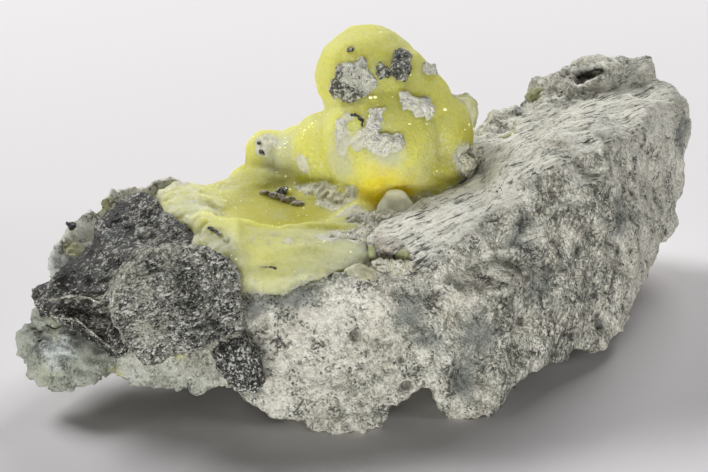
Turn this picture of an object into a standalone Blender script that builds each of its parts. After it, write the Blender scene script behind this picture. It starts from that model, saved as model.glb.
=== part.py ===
"""Brucite on matrix: a yellow botryoidal brucite crust in the hollow of a pale, altered rock.

A cabinet specimen about 125 mm across, resting on the four feet of its own rock. Each physical
piece is one object: the rock, the plates of dark wall rock bedded in it, the brucite crust, a
bead of white brucite, and the crumbs and splinters that are stuck on the crust.

The frame: +X runs along the specimen, +Y to its back, +Z up. The points below are millimetres
about a point under the hollow, and main() ends by moving every piece so that the middle of the
specimen's footprint is the origin, with the feet at Z = 0.
"""

from math import radians

import bmesh
import bpy
from mathutils import Euler, Matrix, Vector, noise

MM = 0.001

# Driving dimensions, in millimetres, and how many triangles each skin is thinned to.
GAP = 0.3  # clearance between pieces that touch
SAW_REACH = 90.0  # half the side of the saw that trims the feet flat
ROCK_VOXEL = 1.0  # grain of the mesh that fuses the blocks
BRUCITE_VOXEL = 0.9
PLATE_VOXEL = 0.6
CRUMB_VOXEL = 0.3
ROCK_TRIANGLES = 3100
BRUCITE_TRIANGLES = 1750
PLATE_TRIANGLES = 270
BEAD_TRIANGLES = 240
CRUMB_TRIANGLES = 70  # for a crumb of one lump
LUMP_TRIANGLES = 24  # and for each further lump

# The rock is blocked out as convex chunks, each the hull of its corners.
ROCK_BLOCKS = {
    "front_foot": [
        (-21, -29, 6), (-14, -31, 2), (-7, -32, -1), (1, -32.5, -1.5), (6, -31, 3), (10, -30, 6),
        (-19, -26, 22), (-9, -27, 24), (4, -25, 26), (13, -23, 27),
        (-20, -6, 6), (12, -6, 3), (-18, -4, 18), (12, -4, 24),
    ],
    "foot_web": [
        (3, -30.5, 6.4), (10, -30.5, 5.8), (17, -29, 6.4), (3, -25, 25), (17, -24, 24),
        (3, -6, 5), (17, -6, 5), (10, -8, 24),
    ],
    "right_foot": [
        (13, -29, 5), (16.5, -29, -1), (22, -28.5, -1.5), (25.5, -26, 2), (28, -24, 5),
        (13, -25, 20), (27, -22, 22), (14, -5, 2), (28, -4, 3), (14, -5, 24), (28, -4, 28),
    ],
    "nose": [
        (27, -24, 5), (34, -18.5, 3.4), (44, -8, 2.6), (40, 12, 2), (18, 14, 2),
        (19.5, -15.5, 28), (24.5, -11.5, 31.5), (28, -7.5, 37), (33.5, -5.5, 38.6),
        (43, -4, 31.5), (30, 10, 30), (42, 10, 30),
    ],
    "right_end": [
        (44, -8, 3), (50, 0, 4), (54, 13, 5), (60, 26, 9), (64.5, 37, 13), (47, 42, 10),
        (30, 30, 5), (42.5, -3, 32), (44, 4, 35.6), (52, 14, 33.8), (56, 27, 35.5),
        (62.5, 38, 34), (65.4, 40, 29), (58, 44, 35), (44, 44, 34), (36, 36, 32),
    ],
    "crag": [
        (31, 36, 31), (34, 39, 36), (39.5, 40, 39), (42.5, 41, 40), (47.5, 43, 38.3),
        (58, 43, 39.6), (57, 39, 36), (50, 33, 35.3), (38, 32, 33), (33, 34, 30),
        (35, 46, 24), (57, 47, 26),
    ],
    "crag_root": [
        (24, 26, 8), (40, 40, 8), (24, 26, 31), (30, 33, 31), (40, 30, 33), (44, 44, 30),
        (32, 41, 26), (33, 42, 10), (44, 30, 10),
    ],
    "slope_low": [
        (3, -19, 29), (8, -22.5, 26.5), (13, -22.5, 27), (20, -15, 28.5), (25, -11, 31),
        (24, 10, 30.5), (17, 12, 29), (8, 0, 27.2), (4, -10, 27.8),
        (5, -20, 10), (22, -18, 10), (22, 10, 10), (10, 0, 10),
    ],
    "slope_high": [
        (24, -11, 31), (28, -7, 37), (34, -5, 38.6), (44, 4, 35.8), (52, 20, 34.5),
        (50, 31, 35.3), (38, 32, 33.5), (28, 29, 32), (22, 21, 31), (22, 8, 30),
        (24, -10, 10), (44, 4, 10), (50, 30, 10), (28, 29, 10), (22, 20, 10),
    ],
    "saddle": [
        (18, 12, 29), (22, 22, 32), (26, 28, 33.5), (32, 32, 34), (31, 36, 31),
        (20, 26, 28), (14, 18, 24), (20, 28, 8), (32, 36, 8), (14, 14, 8),
    ],
    "saddle_front": [
        (15.5, 6, 27), (17.5, 9.5, 31), (19.5, 14, 33.2), (22.5, 20, 33.8), (25, 12, 33),
        (26, 24, 33.5), (19, 26, 27), (14, 12, 8), (25, 8, 8), (25, 24, 8),
    ],
    "core": [
        (-22, -22, 7), (12, -24, 4), (26, 0, 3), (22, 26, 4), (4, 30, 4), (-16, 22, 8),
        (-30, 8, 10), (-26, -18, 16), (10, -20, 20), (20, 10, 24), (0, 24, 18), (-16, 18, 16),
        (-30, 6, 17),
    ],
    "back_foot": [
        (-7, 18, -1.5), (5, 17, -1.5), (9, 27, -1.5), (-3, 29, -1.5),
        (-14, 14, 8), (16, 12, 8), (16, 28, 10), (-12, 27, 11), (0, 33, 10),
    ],
    "far_foot": [
        (36, 4, -1.5), (44, 6, -1.5), (46, 16, -1.5), (38, 18, -1.5),
        (30, 0, 7), (48, 2, 7), (52, 22, 8), (34, 24, 7),
    ],
    "front_plate_bed": [
        (-39, -29, 22), (-37, -26, 26.4), (-31, -22, 27.6), (-25, -22.5, 26.4), (-20, -26, 24),
        (-18, -29, 20), (-22, -31.4, 15), (-33, -32, 14), (-38, -30, 18), (-40, -12, 12),
        (-20, -12, 10), (-20, -12, 22), (-38, -14, 23),
    ],
    "upper_plate_bed": [
        (-44.4, -14, 25), (-42.6, -8, 27), (-39.4, -4, 29), (-35, -4.6, 29), (-27.6, -12, 26.6),
        (-28, -17, 25), (-36, -21, 24), (-42, -19, 23.6), (-44, -14, 14), (-30, 4, 12),
        (-24, -12, 12), (-30, -20, 12), (-42, -18, 12),
    ],
    "under_plate_bed": [
        (-50.4, -22, 18), (-46, -24.6, 16.4), (-40, -28, 13.4), (-37, -28, 14.4), (-38, -14, 18),
        (-46, -12, 19), (-50, -14, 18), (-49, -12, 10), (-37, -14, 8), (-37, -26, 9),
        (-48, -22, 9),
    ],
    "left_core": [
        (-46, -21, 10), (-24, -26, 8), (-20, -10, 8), (-30, 4, 12), (-46, -4, 15),
        (-50, -14, 18), (-24, -20, 20), (-24, -4, 20), (-40, 0, 24), (-30, 6, 24),
    ],
    "left_lump": [
        (-57.6, -22, 10.5), (-54, -25.5, 6.8), (-49, -27.5, 5.2), (-44, -26, 6.4),
        (-56.5, -20, 14), (-53, -18, 17), (-47, -25, 12), (-42, -8, 9), (-50, -8, 12),
        (-41, -25, 13),
    ],
    "left_ledge": [
        (-44, -25, 7.4), (-38, -27, 7.6), (-33.5, -28, 6), (-28.5, -29, 4.6), (-23, -29.5, 6.6),
        (-20, -28, 11), (-30, -29.5, 12), (-42, -26, 12), (-42, -8, 9), (-22, -8, 7),
    ],
    "left_back": [
        (-53, -12.5, 22.5), (-52, -11, 25), (-50, -8.5, 26.6), (-47.6, -5, 27.6),
        (-45.8, -1, 29.6), (-43, 2.4, 30.8), (-40, 4.4, 29.8), (-34, 8.6, 29.8), (-31, 9.5, 28.6),
        (-30, 10, 23), (-51, -12, 15), (-44, 6, 14), (-32, 12, 13), (-40, -14, 14),
    ],
}

# Pits in the rock's faces: a point beside the face, the pit's radius and its depth.
PITS = [
    ((34, -14, 21), 3.4, 1.6), ((29, -18, 14), 4.0, 1.2), ((47, -4, 22), 3.0, 1.3),
    ((5, -33, 13), 3.4, 1.5), ((-11, -32, 18), 2.6, 1.2), ((38, 0, 40), 3.0, 1.4),
    ((58, 20, 22), 3.6, 1.6), ((55, 8, 14), 3.2, 1.2), ((48, 50, 20), 5.0, 2.2),
    ((20, 34, 14), 4.5, 1.8), ((-46, -30, 9), 2.6, 1.2), ((26, -14, 25), 2.8, 1.2),
    ((14, -24, 24), 2.6, 1.1),
]
# The slot under the crag's lip: centre, radii and the turn about each axis in degrees.
CRAG_SLOT = ((45.0, 38.2, 37.2), (3.4, 3.6, 0.9), (-24, -15, 0))

# Plates of dark wall rock: an outline on the plate's own face, and the thickness behind it.
DARK_PLATES = {
    "dark_plate_upper": {
        "outline": [
            (-54.3, -24, 23), (-51.2, -22.4, 23.6), (-47.8, -19.2, 24.9), (-45.5, -16.8, 25.9),
            (-45.3, -13.4, 27.3), (-43.5, -9.5, 28.8), (-40.7, -5.3, 30.5), (-38.2, -3, 31.2),
            (-36, -4.1, 30.9), (-31.2, -8.4, 29.1), (-26.5, -12.9, 27.6), (-26.7, -16, 26.8),
            (-33, -21.5, 25.2), (-38, -24.6, 23), (-42.5, -25.8, 22), (-47.6, -26.3, 21.8),
            (-50, -28.4, 21), (-52, -28, 21.2),
        ],
        "thickness": 2.6,
    },
    "dark_plate_under": {
        "outline": [
            (-50.7, -24.6, 18.8), (-48.3, -25.6, 17.8), (-45.8, -26, 17), (-43.1, -27.4, 15.6),
            (-38.9, -29.8, 13.9), (-36.5, -29, 16), (-37, -23, 18), (-41, -19.4, 19),
            (-46.7, -19, 19.4),
        ],
        "thickness": 2.4,
    },
    "dark_plate_front": {
        "outline": [
            (-40, -31.5, 23.3), (-39.6, -30.8, 25.2), (-37.9, -28.8, 27.6), (-36.4, -27, 28.9),
            (-33.8, -25, 30.5), (-31.2, -24.2, 31), (-27.6, -24, 30.7), (-24.1, -24.5, 30.3),
            (-20.5, -26, 29), (-18.5, -27.5, 27.6), (-18.5, -29, 25.2), (-18.6, -30.2, 23.2),
            (-17.8, -31, 21.1), (-18.6, -32.2, 19), (-23.1, -33.6, 17.1), (-30.7, -34.3, 15.9),
            (-31.8, -34.8, 14.3), (-33.5, -35, 14.1), (-35.2, -34.6, 15.1), (-37.4, -33.8, 17.9),
            (-38.5, -33, 20.3),
        ],
        "thickness": 3.4,
    },
    "dark_plate_lower": {
        "outline": [
            (-22.6, -32.5, 15.8), (-18.2, -32.4, 17.6), (-17, -32, 17), (-15.4, -32.5, 14.9),
            (-15.1, -33.2, 11.9), (-14.5, -33.6, 10.1), (-16.3, -34, 8.8), (-19.4, -34.2, 8.8),
            (-21, -34, 10.6), (-22.9, -33, 14),
        ],
        "thickness": 3.4,
    },
}

# The brucite's round lobes, as centre and radius.
BRUCITE_LOBES = {
    "crown": ((2.5, 16, 45.2), 9.2),
    "crown_side": ((7.6, 14, 45.0), 6.3),
    "front_lobe": ((5.2, 9.5, 35.2), 10.8),
    "right_lobe": ((13.6, 13, 35.6), 7.9),
    "right_low_lobe": ((14.0, 9, 30.0), 6.0),
    "right_foot_lobe": ((12.6, 4.6, 26.6), 5.6),
    "left_shoulder": ((-4.6, 13, 31.8), 7.2),
    "left_step": ((-10.3, 16, 31.4), 3.9),
    "left_knob": ((-15.2, 17, 29.4), 4.8),
    "back_high_lobe": ((3.0, 24, 38.0), 8.6),
    "back_right_lobe": ((12.0, 23, 29.5), 7.6),
    "back_left_lobe": ((-6.0, 23, 27.6), 6.2),
    "back_low_lobe": ((3.5, 29, 23.5), 8.4),
    "back_corner_lobe": ((-18.0, 18, 20.5), 6.6),
    "rim_lobe": ((-25.5, 9, 21.8), 4.8),
}

# The crust that lines the hollow: its own blocks, and the bowl that is scooped out of them.
BRUCITE_BLOCKS = {
    "basin_floor": [
        (-30, 7, 27), (-27, 11, 26), (-19, 14, 28.2), (-8, 12, 29.2), (4, -2, 28), (3, -14, 28),
        (-20, -14, 27), (-29, 0, 27), (-28, 8, 10), (-16, 14, 10), (3, 0, 10), (-18, -16, 10),
        (3, -16, 10),
    ],
    "front_wall": [
        (-27.4, -9, 29.6), (-23, -15, 30.6), (-17.5, -18.4, 31.2), (-9, -20.6, 31.6),
        (-1, -20, 31.4), (2.6, -18.6, 30.4), (2.8, -24, 26.4), (-4, -26.6, 26), (-14, -27.4, 25),
        (-19, -26.6, 24), (-21.5, -26, 26.4), (-25.5, -22, 27.4), (-28, -17, 27.6),
        (-22, -20, 24), (-27, -12, 24), (2, -12, 29), (-9, -12, 29.6),
        (-19, -9, 29), (-18, -20, 12), (1, -18, 12), (-24, -8, 12),
    ],
    "left_apron": [
        (-36, 4, 28.6), (-33, 7, 28.8), (-28, 9, 28), (-24, -7, 28.8), (-27, -13, 28),
        (-32, -7, 28.6), (-34, 4, 18), (-26, 6, 14), (-23, -12, 14),
    ],
}
BASIN_BOWL = ((-13.0, -1.6, 36.0), (16.6, 13.6, 12.4))

# A smooth bead of white brucite at the foot of the dome, as centre and radii.
WHITE_BEAD = ((7.4, -2.0, 27.9), (3.9, 3.6, 4.0))

# A clear sliver of brucite that stands against the dome's right side, as the corners of its hull.
PALE_SHARD = [
    (17.5, 14.6, 41.2), (20.4, 15, 41.8), (22.3, 15.6, 40.5), (22.8, 16.2, 38), (22.2, 16.4, 34.8),
    (17.5, 17.6, 41), (20.4, 18, 41.4), (22, 18.4, 38), (21.4, 18.2, 34.8), (19, 16, 34),
]

# Crumbs of rock and grains on the specimen, each a cluster of lumps, as centre and radii.
CRUMBS = {
    "crumb_large": [
        ((0.6, 8.0, 48.2), (2.6, 1.8, 2.4)), ((-1.6, 8.6, 48.4), (1.8, 1.5, 2.2)),
        ((2.6, 7.8, 46.8), (1.7, 1.5, 1.9)), ((0.0, 7.2, 45.2), (2.7, 1.7, 1.9)),
        ((-2.8, 8.0, 46.2), (1.6, 1.5, 2.4)), ((1.6, 8.8, 50.2), (1.3, 1.3, 1.4)),
    ],
    "crumb_dark_mid": [((4.9, 8.4, 48.7), (1.3, 1.5, 1.9))],
    "crumb_dark_right": [
        ((8.5, 9.4, 51.4), (1.6, 1.5, 1.5)), ((8.2, 8.6, 49.2), (1.9, 1.6, 2.2)),
    ],
    "crumb_edge": [((13.0, 11.4, 48.0), (1.5, 1.4, 1.4))],
    "crumb_pale": [
        ((10.2, 4.6, 43.6), (2.6, 1.6, 2.2)), ((12.4, 5.2, 42.8), (1.8, 1.5, 2.0)),
        ((9.0, 4.6, 41.8), (1.6, 1.4, 1.4)), ((9.2, 5.4, 45.4), (1.3, 1.3, 1.0)),
    ],
    "crumb_white": [
        ((4.8, -0.8, 38.9), (3.2, 1.3, 2.2)), ((7.2, -0.4, 38.9), (2.0, 1.3, 2.0)),
        ((2.8, -0.2, 41.0), (1.7, 1.2, 1.6)), ((3.6, 1.2, 42.5), (1.5, 1.3, 1.3)),
        ((4.0, 2.8, 43.3), (1.7, 1.3, 1.1)),
    ],
    "crumb_speckled": [
        ((-1.7, 4.2, 40.9), (1.6, 1.2, 1.6)), ((-1.9, 3.2, 39.4), (1.4, 1.2, 1.5)),
        ((-2.2, 2.6, 37.9), (1.1, 1.1, 1.3)),
    ],
    "crumb_strip": [
        ((15.2, 12.6, 43.2), (1.5, 1.0, 0.9)), ((17.0, 12.8, 42.4), (1.5, 1.0, 0.9)),
        ((18.4, 13.0, 41.4), (1.1, 0.9, 1.0)),
    ],
    "rock_splinter": [
        ((-15.7, 6.8, 27.3), (1.5, 0.8, 0.8)), ((-13.8, 6.0, 26.7), (1.6, 0.9, 0.8)),
        ((-11.8, 4.8, 26.1), (1.6, 0.9, 0.8)), ((-9.9, 3.4, 25.6), (1.4, 0.8, 0.8)),
    ],
    "metal_grain": [((-13.0, 7.4, 27.6), (1.2, 0.9, 1.0))],
    "black_grain": [((-49.0, -8.4, 27.0), (0.9, 0.9, 0.9))],
}


def scaled(points):
    """The points in metres."""
    return [Vector(point) * MM for point in points]


def add_hull(bm, corners):
    """Adds the convex hull of the corners, as a closed shell of its own."""
    verts = [bm.verts.new(point) for point in scaled(corners)]
    hull = bmesh.ops.convex_hull(bm, input=verts)
    spare = set(hull["geom_interior"] + hull["geom_unused"])
    spare = [item for item in spare if isinstance(item, bmesh.types.BMVert)]
    bmesh.ops.delete(bm, geom=spare, context="VERTS")


def add_ellipsoid(bm, centre, radii, turn=(0, 0, 0), subdivisions=3):
    """Adds an ellipsoid, turned about its centre by those degrees."""
    size = Matrix.Diagonal((*(Vector(radii) * MM), 1.0))
    turned = Euler([radians(angle) for angle in turn]).to_matrix().to_4x4()
    place = Matrix.Translation(Vector(centre) * MM) @ turned @ size
    bmesh.ops.create_icosphere(bm, subdivisions=subdivisions, radius=1.0, matrix=place)


def mesh_object(name, bm):
    """Makes an object of the bmesh, at the origin, and frees the bmesh."""
    bmesh.ops.recalc_face_normals(bm, faces=bm.faces)
    mesh = bpy.data.meshes.new(name)
    bm.to_mesh(mesh)
    bm.free()
    obj = bpy.data.objects.new(name, mesh)
    bpy.context.scene.collection.objects.link(obj)
    return obj


def settle(obj):
    """Turns the object's modifiers into plain mesh."""
    graph = bpy.context.evaluated_depsgraph_get()
    mesh = bpy.data.meshes.new_from_object(obj.evaluated_get(graph))
    obj.modifiers.clear()
    obj.data = mesh
    return obj


def fuse(obj, voxel, passes=2):
    """Joins the object's overlapping shells into one closed skin, smoothed by so many passes."""
    remesh = obj.modifiers.new("fuse", "REMESH")
    remesh.mode = "VOXEL"
    remesh.voxel_size = voxel * MM
    soften = obj.modifiers.new("soften", "SMOOTH")
    soften.factor = 0.5
    soften.iterations = passes
    return settle(obj)


def roughen(obj, height, spacing, seed, octaves=3):
    """Moves the skin in and out along its normals by fractal noise of that height and spacing."""
    offset = Vector((seed * 7.3, seed * 3.1, seed * 5.7))
    normals = [vertex.normal.copy() for vertex in obj.data.vertices]
    for vertex, normal in zip(obj.data.vertices, normals):
        where = vertex.co / (spacing * MM) + offset
        vertex.co += normal * noise.fractal(where, 1.0, 2.0, octaves) * height * MM
    obj.data.update()
    return obj


def thin_out(obj, triangles):
    """Reduces the skin to about that many triangles."""
    obj.data.calc_loop_triangles()
    decimate = obj.modifiers.new("thin_out", "DECIMATE")
    decimate.ratio = min(1.0, triangles / len(obj.data.loop_triangles))
    decimate.use_collapse_triangulate = True
    return settle(obj)


def combine(obj, other, operation):
    """Applies a Boolean with the other object, and deletes that one."""
    boolean = obj.modifiers.new(operation.lower(), "BOOLEAN")
    boolean.operation = operation
    boolean.solver = "EXACT"
    boolean.object = other
    settle(obj)
    bpy.data.objects.remove(other)
    return obj


def swollen(obj, by):
    """A copy of the object whose skin stands that far out."""
    copy = bpy.data.objects.new(obj.name + "_clearance", obj.data.copy())
    bpy.context.scene.collection.objects.link(copy)
    swell = copy.modifiers.new("swell", "DISPLACE")
    swell.mid_level = 0.0
    swell.strength = by * MM
    return settle(copy)


def cut_clear(obj, neighbours):
    """Cuts the neighbours out of the object and leaves the gap between them."""
    for neighbour in neighbours:
        combine(obj, swollen(neighbour, GAP), "DIFFERENCE")
    return keep_largest(obj)


def keep_largest(obj):
    """Drops the splinters that a cut leaves loose."""
    bm = bmesh.new()
    bm.from_mesh(obj.data)
    unseen = set(bm.verts)
    shells = []
    while unseen:
        front = [unseen.pop()]
        shell = set(front)
        while front:
            vertex = front.pop()
            near = {edge.other_vert(vertex) for edge in vertex.link_edges} - shell
            shell |= near
            front.extend(near)
        unseen -= shell
        shells.append(shell)
    shells.sort(key=len, reverse=True)
    loose = [vertex for shell in shells[1:] for vertex in shell]
    bmesh.ops.delete(bm, geom=loose, context="VERTS")
    bm.to_mesh(obj.data)
    bm.free()
    return obj


def finish(obj, colour, roughness):
    """Gives the object its own plain material."""
    material = bpy.data.materials.new(obj.name)
    material.use_nodes = True
    shader = material.node_tree.nodes["Principled BSDF"]
    shader.inputs["Base Color"].default_value = (*colour, 1.0)
    shader.inputs["Roughness"].default_value = roughness
    material.diffuse_color = (*colour, 1.0)
    obj.data.materials.clear()
    obj.data.materials.append(material)
    return obj


def saw_flat(obj):
    """Trims what reaches below Z = 0, so that the feet are flat."""
    bm = bmesh.new()
    half = SAW_REACH * MM
    place = Matrix.Translation((0, 0, -half)) @ Matrix.Scale(2 * half, 4)
    bmesh.ops.create_cube(bm, size=1.0, matrix=place)
    return combine(obj, mesh_object("saw", bm), "DIFFERENCE")


def sink_pits(rock):
    """Dents the skin around each pit's nearest point, deepest in the middle."""
    for beside, radius, depth in PITS:
        _, spot, normal, _ = rock.closest_point_on_mesh(Vector(beside) * MM)
        for vertex in rock.data.vertices:
            share = 1 - ((vertex.co - spot).length / (radius * MM)) ** 2
            if share > 0:
                vertex.co -= normal * share * depth * MM
    rock.data.update()
    return rock


def cut_slot(rock):
    """Cuts the slot under the crag's lip."""
    bm = bmesh.new()
    add_ellipsoid(bm, *CRAG_SLOT)
    return combine(rock, mesh_object("slot", bm), "DIFFERENCE")


def make_rock():
    bm = bmesh.new()
    for corners in ROCK_BLOCKS.values():
        add_hull(bm, corners)
    rock = fuse(mesh_object("matrix_rock", bm), ROCK_VOXEL)
    roughen(rock, height=1.8, spacing=15, seed=1)
    roughen(rock, height=0.9, spacing=5, seed=2)
    return saw_flat(cut_slot(thin_out(sink_pits(rock), ROCK_TRIANGLES)))


def make_plate(name, outline, thickness):
    """A flake: its outline pushed back along its mean normal, with its faces roughened."""
    points = scaled(outline)
    centre = sum(points, Vector()) / len(points)
    normal = Vector()
    for here, after in zip(points, points[1:] + points[:1]):
        normal += (here - centre).cross(after - centre)
    normal.normalize()
    if normal.z > 0:
        normal.negate()
    bm = bmesh.new()
    front = [bm.verts.new(point) for point in points]
    back = [bm.verts.new(point + normal * thickness * MM) for point in points]
    front_hub = bm.verts.new(centre - normal * 0.1 * thickness * MM)
    back_hub = bm.verts.new(centre + normal * thickness * MM)
    for i, here in enumerate(front):
        j = (i + 1) % len(front)
        bm.faces.new((here, front[j], front_hub))
        bm.faces.new((back[j], back[i], back_hub))
        bm.faces.new((here, back[i], back[j], front[j]))
    plate = fuse(mesh_object(name, bm), PLATE_VOXEL, passes=1)
    roughen(plate, height=0.6, spacing=4, seed=3)
    return thin_out(plate, PLATE_TRIANGLES)


def make_basin():
    """The lining of the hollow, with its bowl scooped out."""
    bm = bmesh.new()
    for corners in BRUCITE_BLOCKS.values():
        add_hull(bm, corners)
    basin = fuse(mesh_object("basin", bm), BRUCITE_VOXEL)
    bm = bmesh.new()
    add_ellipsoid(bm, *BASIN_BOWL, subdivisions=4)
    return combine(basin, mesh_object("bowl", bm), "DIFFERENCE")


def make_brucite():
    basin = make_basin()
    bm = bmesh.new()
    bm.from_mesh(basin.data)
    bpy.data.objects.remove(basin)
    for centre, radius in BRUCITE_LOBES.values():
        add_ellipsoid(bm, centre, (radius, radius, radius))
    crust = fuse(mesh_object("brucite_crust", bm), BRUCITE_VOXEL)
    roughen(crust, height=0.5, spacing=5, seed=4)
    return thin_out(crust, BRUCITE_TRIANGLES)


def make_cluster(name, lumps, seed):
    """A rough crumb, fused from its lumps."""
    bm = bmesh.new()
    for centre, radii in lumps:
        add_ellipsoid(bm, centre, radii)
    crumb = fuse(mesh_object(name, bm), CRUMB_VOXEL, passes=1)
    roughen(crumb, height=0.45, spacing=1.3, seed=seed)
    return thin_out(crumb, CRUMB_TRIANGLES + LUMP_TRIANGLES * (len(lumps) - 1))


def make_bead():
    bm = bmesh.new()
    add_ellipsoid(bm, *WHITE_BEAD)
    return thin_out(mesh_object("white_bead", bm), BEAD_TRIANGLES)


def make_shard():
    bm = bmesh.new()
    add_hull(bm, PALE_SHARD)
    return mesh_object("pale_shard", bm)


def stand_on_origin(pieces):
    """Moves the pieces together, so that the origin is the bottom centre of their box."""
    points = [vertex.co for piece in pieces for vertex in piece.data.vertices]
    lows = [min(point[axis] for point in points) for axis in range(3)]
    highs = [max(point[axis] for point in points) for axis in range(3)]
    shift = Vector((-(lows[0] + highs[0]) / 2, -(lows[1] + highs[1]) / 2, -lows[2]))
    for piece in pieces:
        piece.data.transform(Matrix.Translation(shift))


def main():
    for obj in list(bpy.data.objects):
        bpy.data.objects.remove(obj)
    plates = [make_plate(name, **plate) for name, plate in DARK_PLATES.items()]
    for i, plate in enumerate(plates):
        finish(cut_clear(plate, plates[i + 1 :]), (0.09, 0.09, 0.08), 0.6)
    rock = finish(cut_clear(make_rock(), plates), (0.55, 0.55, 0.5), 0.85)
    crust = finish(cut_clear(make_brucite(), [rock, *plates]), (0.72, 0.68, 0.12), 0.3)
    bead = finish(cut_clear(make_bead(), [rock, crust]), (0.6, 0.6, 0.52), 0.4)
    shard = finish(cut_clear(make_shard(), [rock, crust]), (0.7, 0.7, 0.45), 0.3)
    pieces = [*plates, rock, crust, bead, shard]
    for seed, (name, lumps) in enumerate(CRUMBS.items(), start=11):
        crumb = cut_clear(make_cluster(name, lumps, seed), pieces)
        pieces.append(finish(crumb, (0.3, 0.3, 0.27), 0.8))
    stand_on_origin(pieces)


main()
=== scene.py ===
"""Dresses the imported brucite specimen: its rock, dark plates, brucite, crumbs and a plain stage.

Each CAD node is replaced by a finer skin of itself, which is smoothed, roughened in mesh code and
given a procedural material. All places are millimetres about the point under the hollow, as in the
part's own source, and every piece rides on the one body, root.
"""

from functools import partial
from math import radians

import bmesh
import bpy
import numpy as np
from bpy.props import FloatProperty, FloatVectorProperty, IntProperty, PointerProperty
from mathutils import Euler, Matrix, Vector, noise
from mathutils.bvhtree import BVHTree


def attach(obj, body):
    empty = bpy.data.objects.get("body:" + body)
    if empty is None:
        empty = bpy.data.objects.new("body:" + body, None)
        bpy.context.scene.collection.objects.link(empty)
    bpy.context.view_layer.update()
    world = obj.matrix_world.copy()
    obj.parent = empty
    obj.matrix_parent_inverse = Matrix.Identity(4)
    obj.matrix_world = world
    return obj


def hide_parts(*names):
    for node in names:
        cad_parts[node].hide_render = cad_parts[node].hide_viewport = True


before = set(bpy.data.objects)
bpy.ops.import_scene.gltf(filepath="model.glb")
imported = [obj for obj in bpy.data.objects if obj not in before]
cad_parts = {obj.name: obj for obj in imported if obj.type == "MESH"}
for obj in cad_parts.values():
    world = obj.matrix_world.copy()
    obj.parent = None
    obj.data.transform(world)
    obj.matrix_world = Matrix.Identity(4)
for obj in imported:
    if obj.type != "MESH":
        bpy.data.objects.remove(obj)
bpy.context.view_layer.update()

bl_info = {
    "name": "Brucite on matrix",
    "version": (1, 0, 0),
    "blender": (4, 5, 0),
    "location": "3D View > Sidebar > Brucite",
    "description": "Builds the skins and the stage of a brucite specimen",
    "category": "Object",
}

MM = 0.001
HOLLOW = (-4.352, -5.978, 0.0)  # where the point under the hollow stands in the frame

# Directions that the rock's textures run in.
SLIP = (0.81, 0.58, 0.08)  # the slickenside's streaks
HANG = (0.3, -0.12, 0.95)  # the fibres down the nose and the right end
FOLIATION = (0.7, 0.6, 0.3)  # the leaves of the dark plates

# Edges of the voxels, in millimetres, that the small pieces are rebuilt from.
GRIT_VOXEL = 0.16
RIDGE_VOXEL = 0.11
LUMP_VOXEL = 0.2
BEAD_VOXEL = 0.22
SHARD_VOXEL = 0.2
SPLINTER_VOXEL = 0.12

# Soft spots on the rock, as centre and radius: mostly colour, but some dark spots paint the shade under the
# plates' lip and icy spots paint a highlight on the left lump.
BLUE_SPOTS = [
    ((9.3, -25.8, 19.5), 5.0), ((12.6, -27, 14.6), 4.0), ((21.2, -23.7, 13.7), 5.0),
    ((18.6, -26.3, 7.9), 5.0), ((31.8, -15.2, 19.8), 5.0), ((-12.2, -26.4, 22.6), 4.0),
    ((-16, -27, 21), 3.0), ((29, -13, 27), 4.0), ((46, 2, 24), 5.0), ((54, 13, 32), 4.5),
    ((-9, -27, 21.5), 4.0), ((38, -8, 14), 4.0), ((60, 34, 26), 5.0), ((20, 34, 14), 8.0),
    ((48, 46, 20), 9.0), ((-38, 2, 14), 6.0), ((0, 30, 8), 7.0),
]
DARK_AND_SHADE_SPOTS = [
    ((34.2, -11.8, 21.6), 3.0), ((3.5, -24.3, 26.5), 1.4), ((40, -6, 17), 3.4), ((46, -2, 19), 3.0),
    ((33, -14, 12), 2.8), ((28, -17, 22), 2.6), ((-50.5, -22.0, 17.6), 3.2), ((36, -4, 30), 3.0),
    ((50, 6, 10), 3.0), ((31, -15, 25), 2.6), ((26.5, -15.5, 17.5), 2.4), ((37.5, -10.5, 14.5), 2.6),
    ((33, -12, 28.5), 2.0), ((58, 26, 16), 3.0), ((-2.5, -28, 17.5), 1.4), ((-17, -29, 17), 1.2),
    ((31, 21, 32.6), 2.0), ((-46.4, -24.5, 14.3), 5.0), ((-49.5, -24.0, 15.4), 3.4),
    ((-42.5, -25.4, 12.6), 3.2), ((5.2, -27.6, 13.9), 1.6), ((30, -16, 16), 2.4), ((35, -11, 24), 2.2),
    ((43, -5, 22), 2.2), ((40, -7, 26), 1.8), ((7.7, -27.8, 13.0), 1.2), ((-14.0, -26.3, 17.0), 1.1),
    ((-1.5, -28.3, 18.9), 1.0),
]
BRIGHT_SPOTS = [
    ((41.6, 4.9, 37.4), 6.0), ((-5, -29, 14), 10.0), ((0, -27, 21), 6.0), ((14, -19, 27), 6.0),
    ((18, -4, 31), 12.0), ((50, 34, 36), 8.0), ((-14, -30, 8), 6.0), ((27, -17, 16), 4.0),
]
WARM_SPOTS = [((5.2, -20.5, 28.9), 3.6), ((51.7, 11.8, 25.1), 2.6), ((35.7, 2.4, 38.0), 2.2)]
ICE_AND_HIGHLIGHT_SPOTS = [
    ((-50.2, -25.4, 10.8), 3.4), ((-43.8, 0.1, 27.9), 4.4), ((-50, -11, 23), 4.0),
    ((-30.1, 4.0, 30.0), 2.0), ((-37, -29, 8), 2.6),
]
WINDOW_SPOTS = [
    ((-39.8, -25.8, 7.4), 2.0), ((-48.6, -10.4, 23.2), 2.6), ((2.7, -19.2, 26.2), 2.4),
    ((-29, -28.5, 12.5), 1.6), ((-44, -1, 28), 3.0),
]
UNPOLISHED_SPOTS = [((34, 2, 37.5), 5.0)]
# The slot in the crag is a third as high as it is wide, so heights are tripled for it. It is only painted
# dark, as painted shade, with no hollow cut for it.
SLOT_STRETCH = (1, 1, 3)
SLOT_SHADE_SPOTS = [((44.4, 38.9, 112.6), 2.8), ((47.0, 39.0, 113.4), 2.8)]
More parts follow.
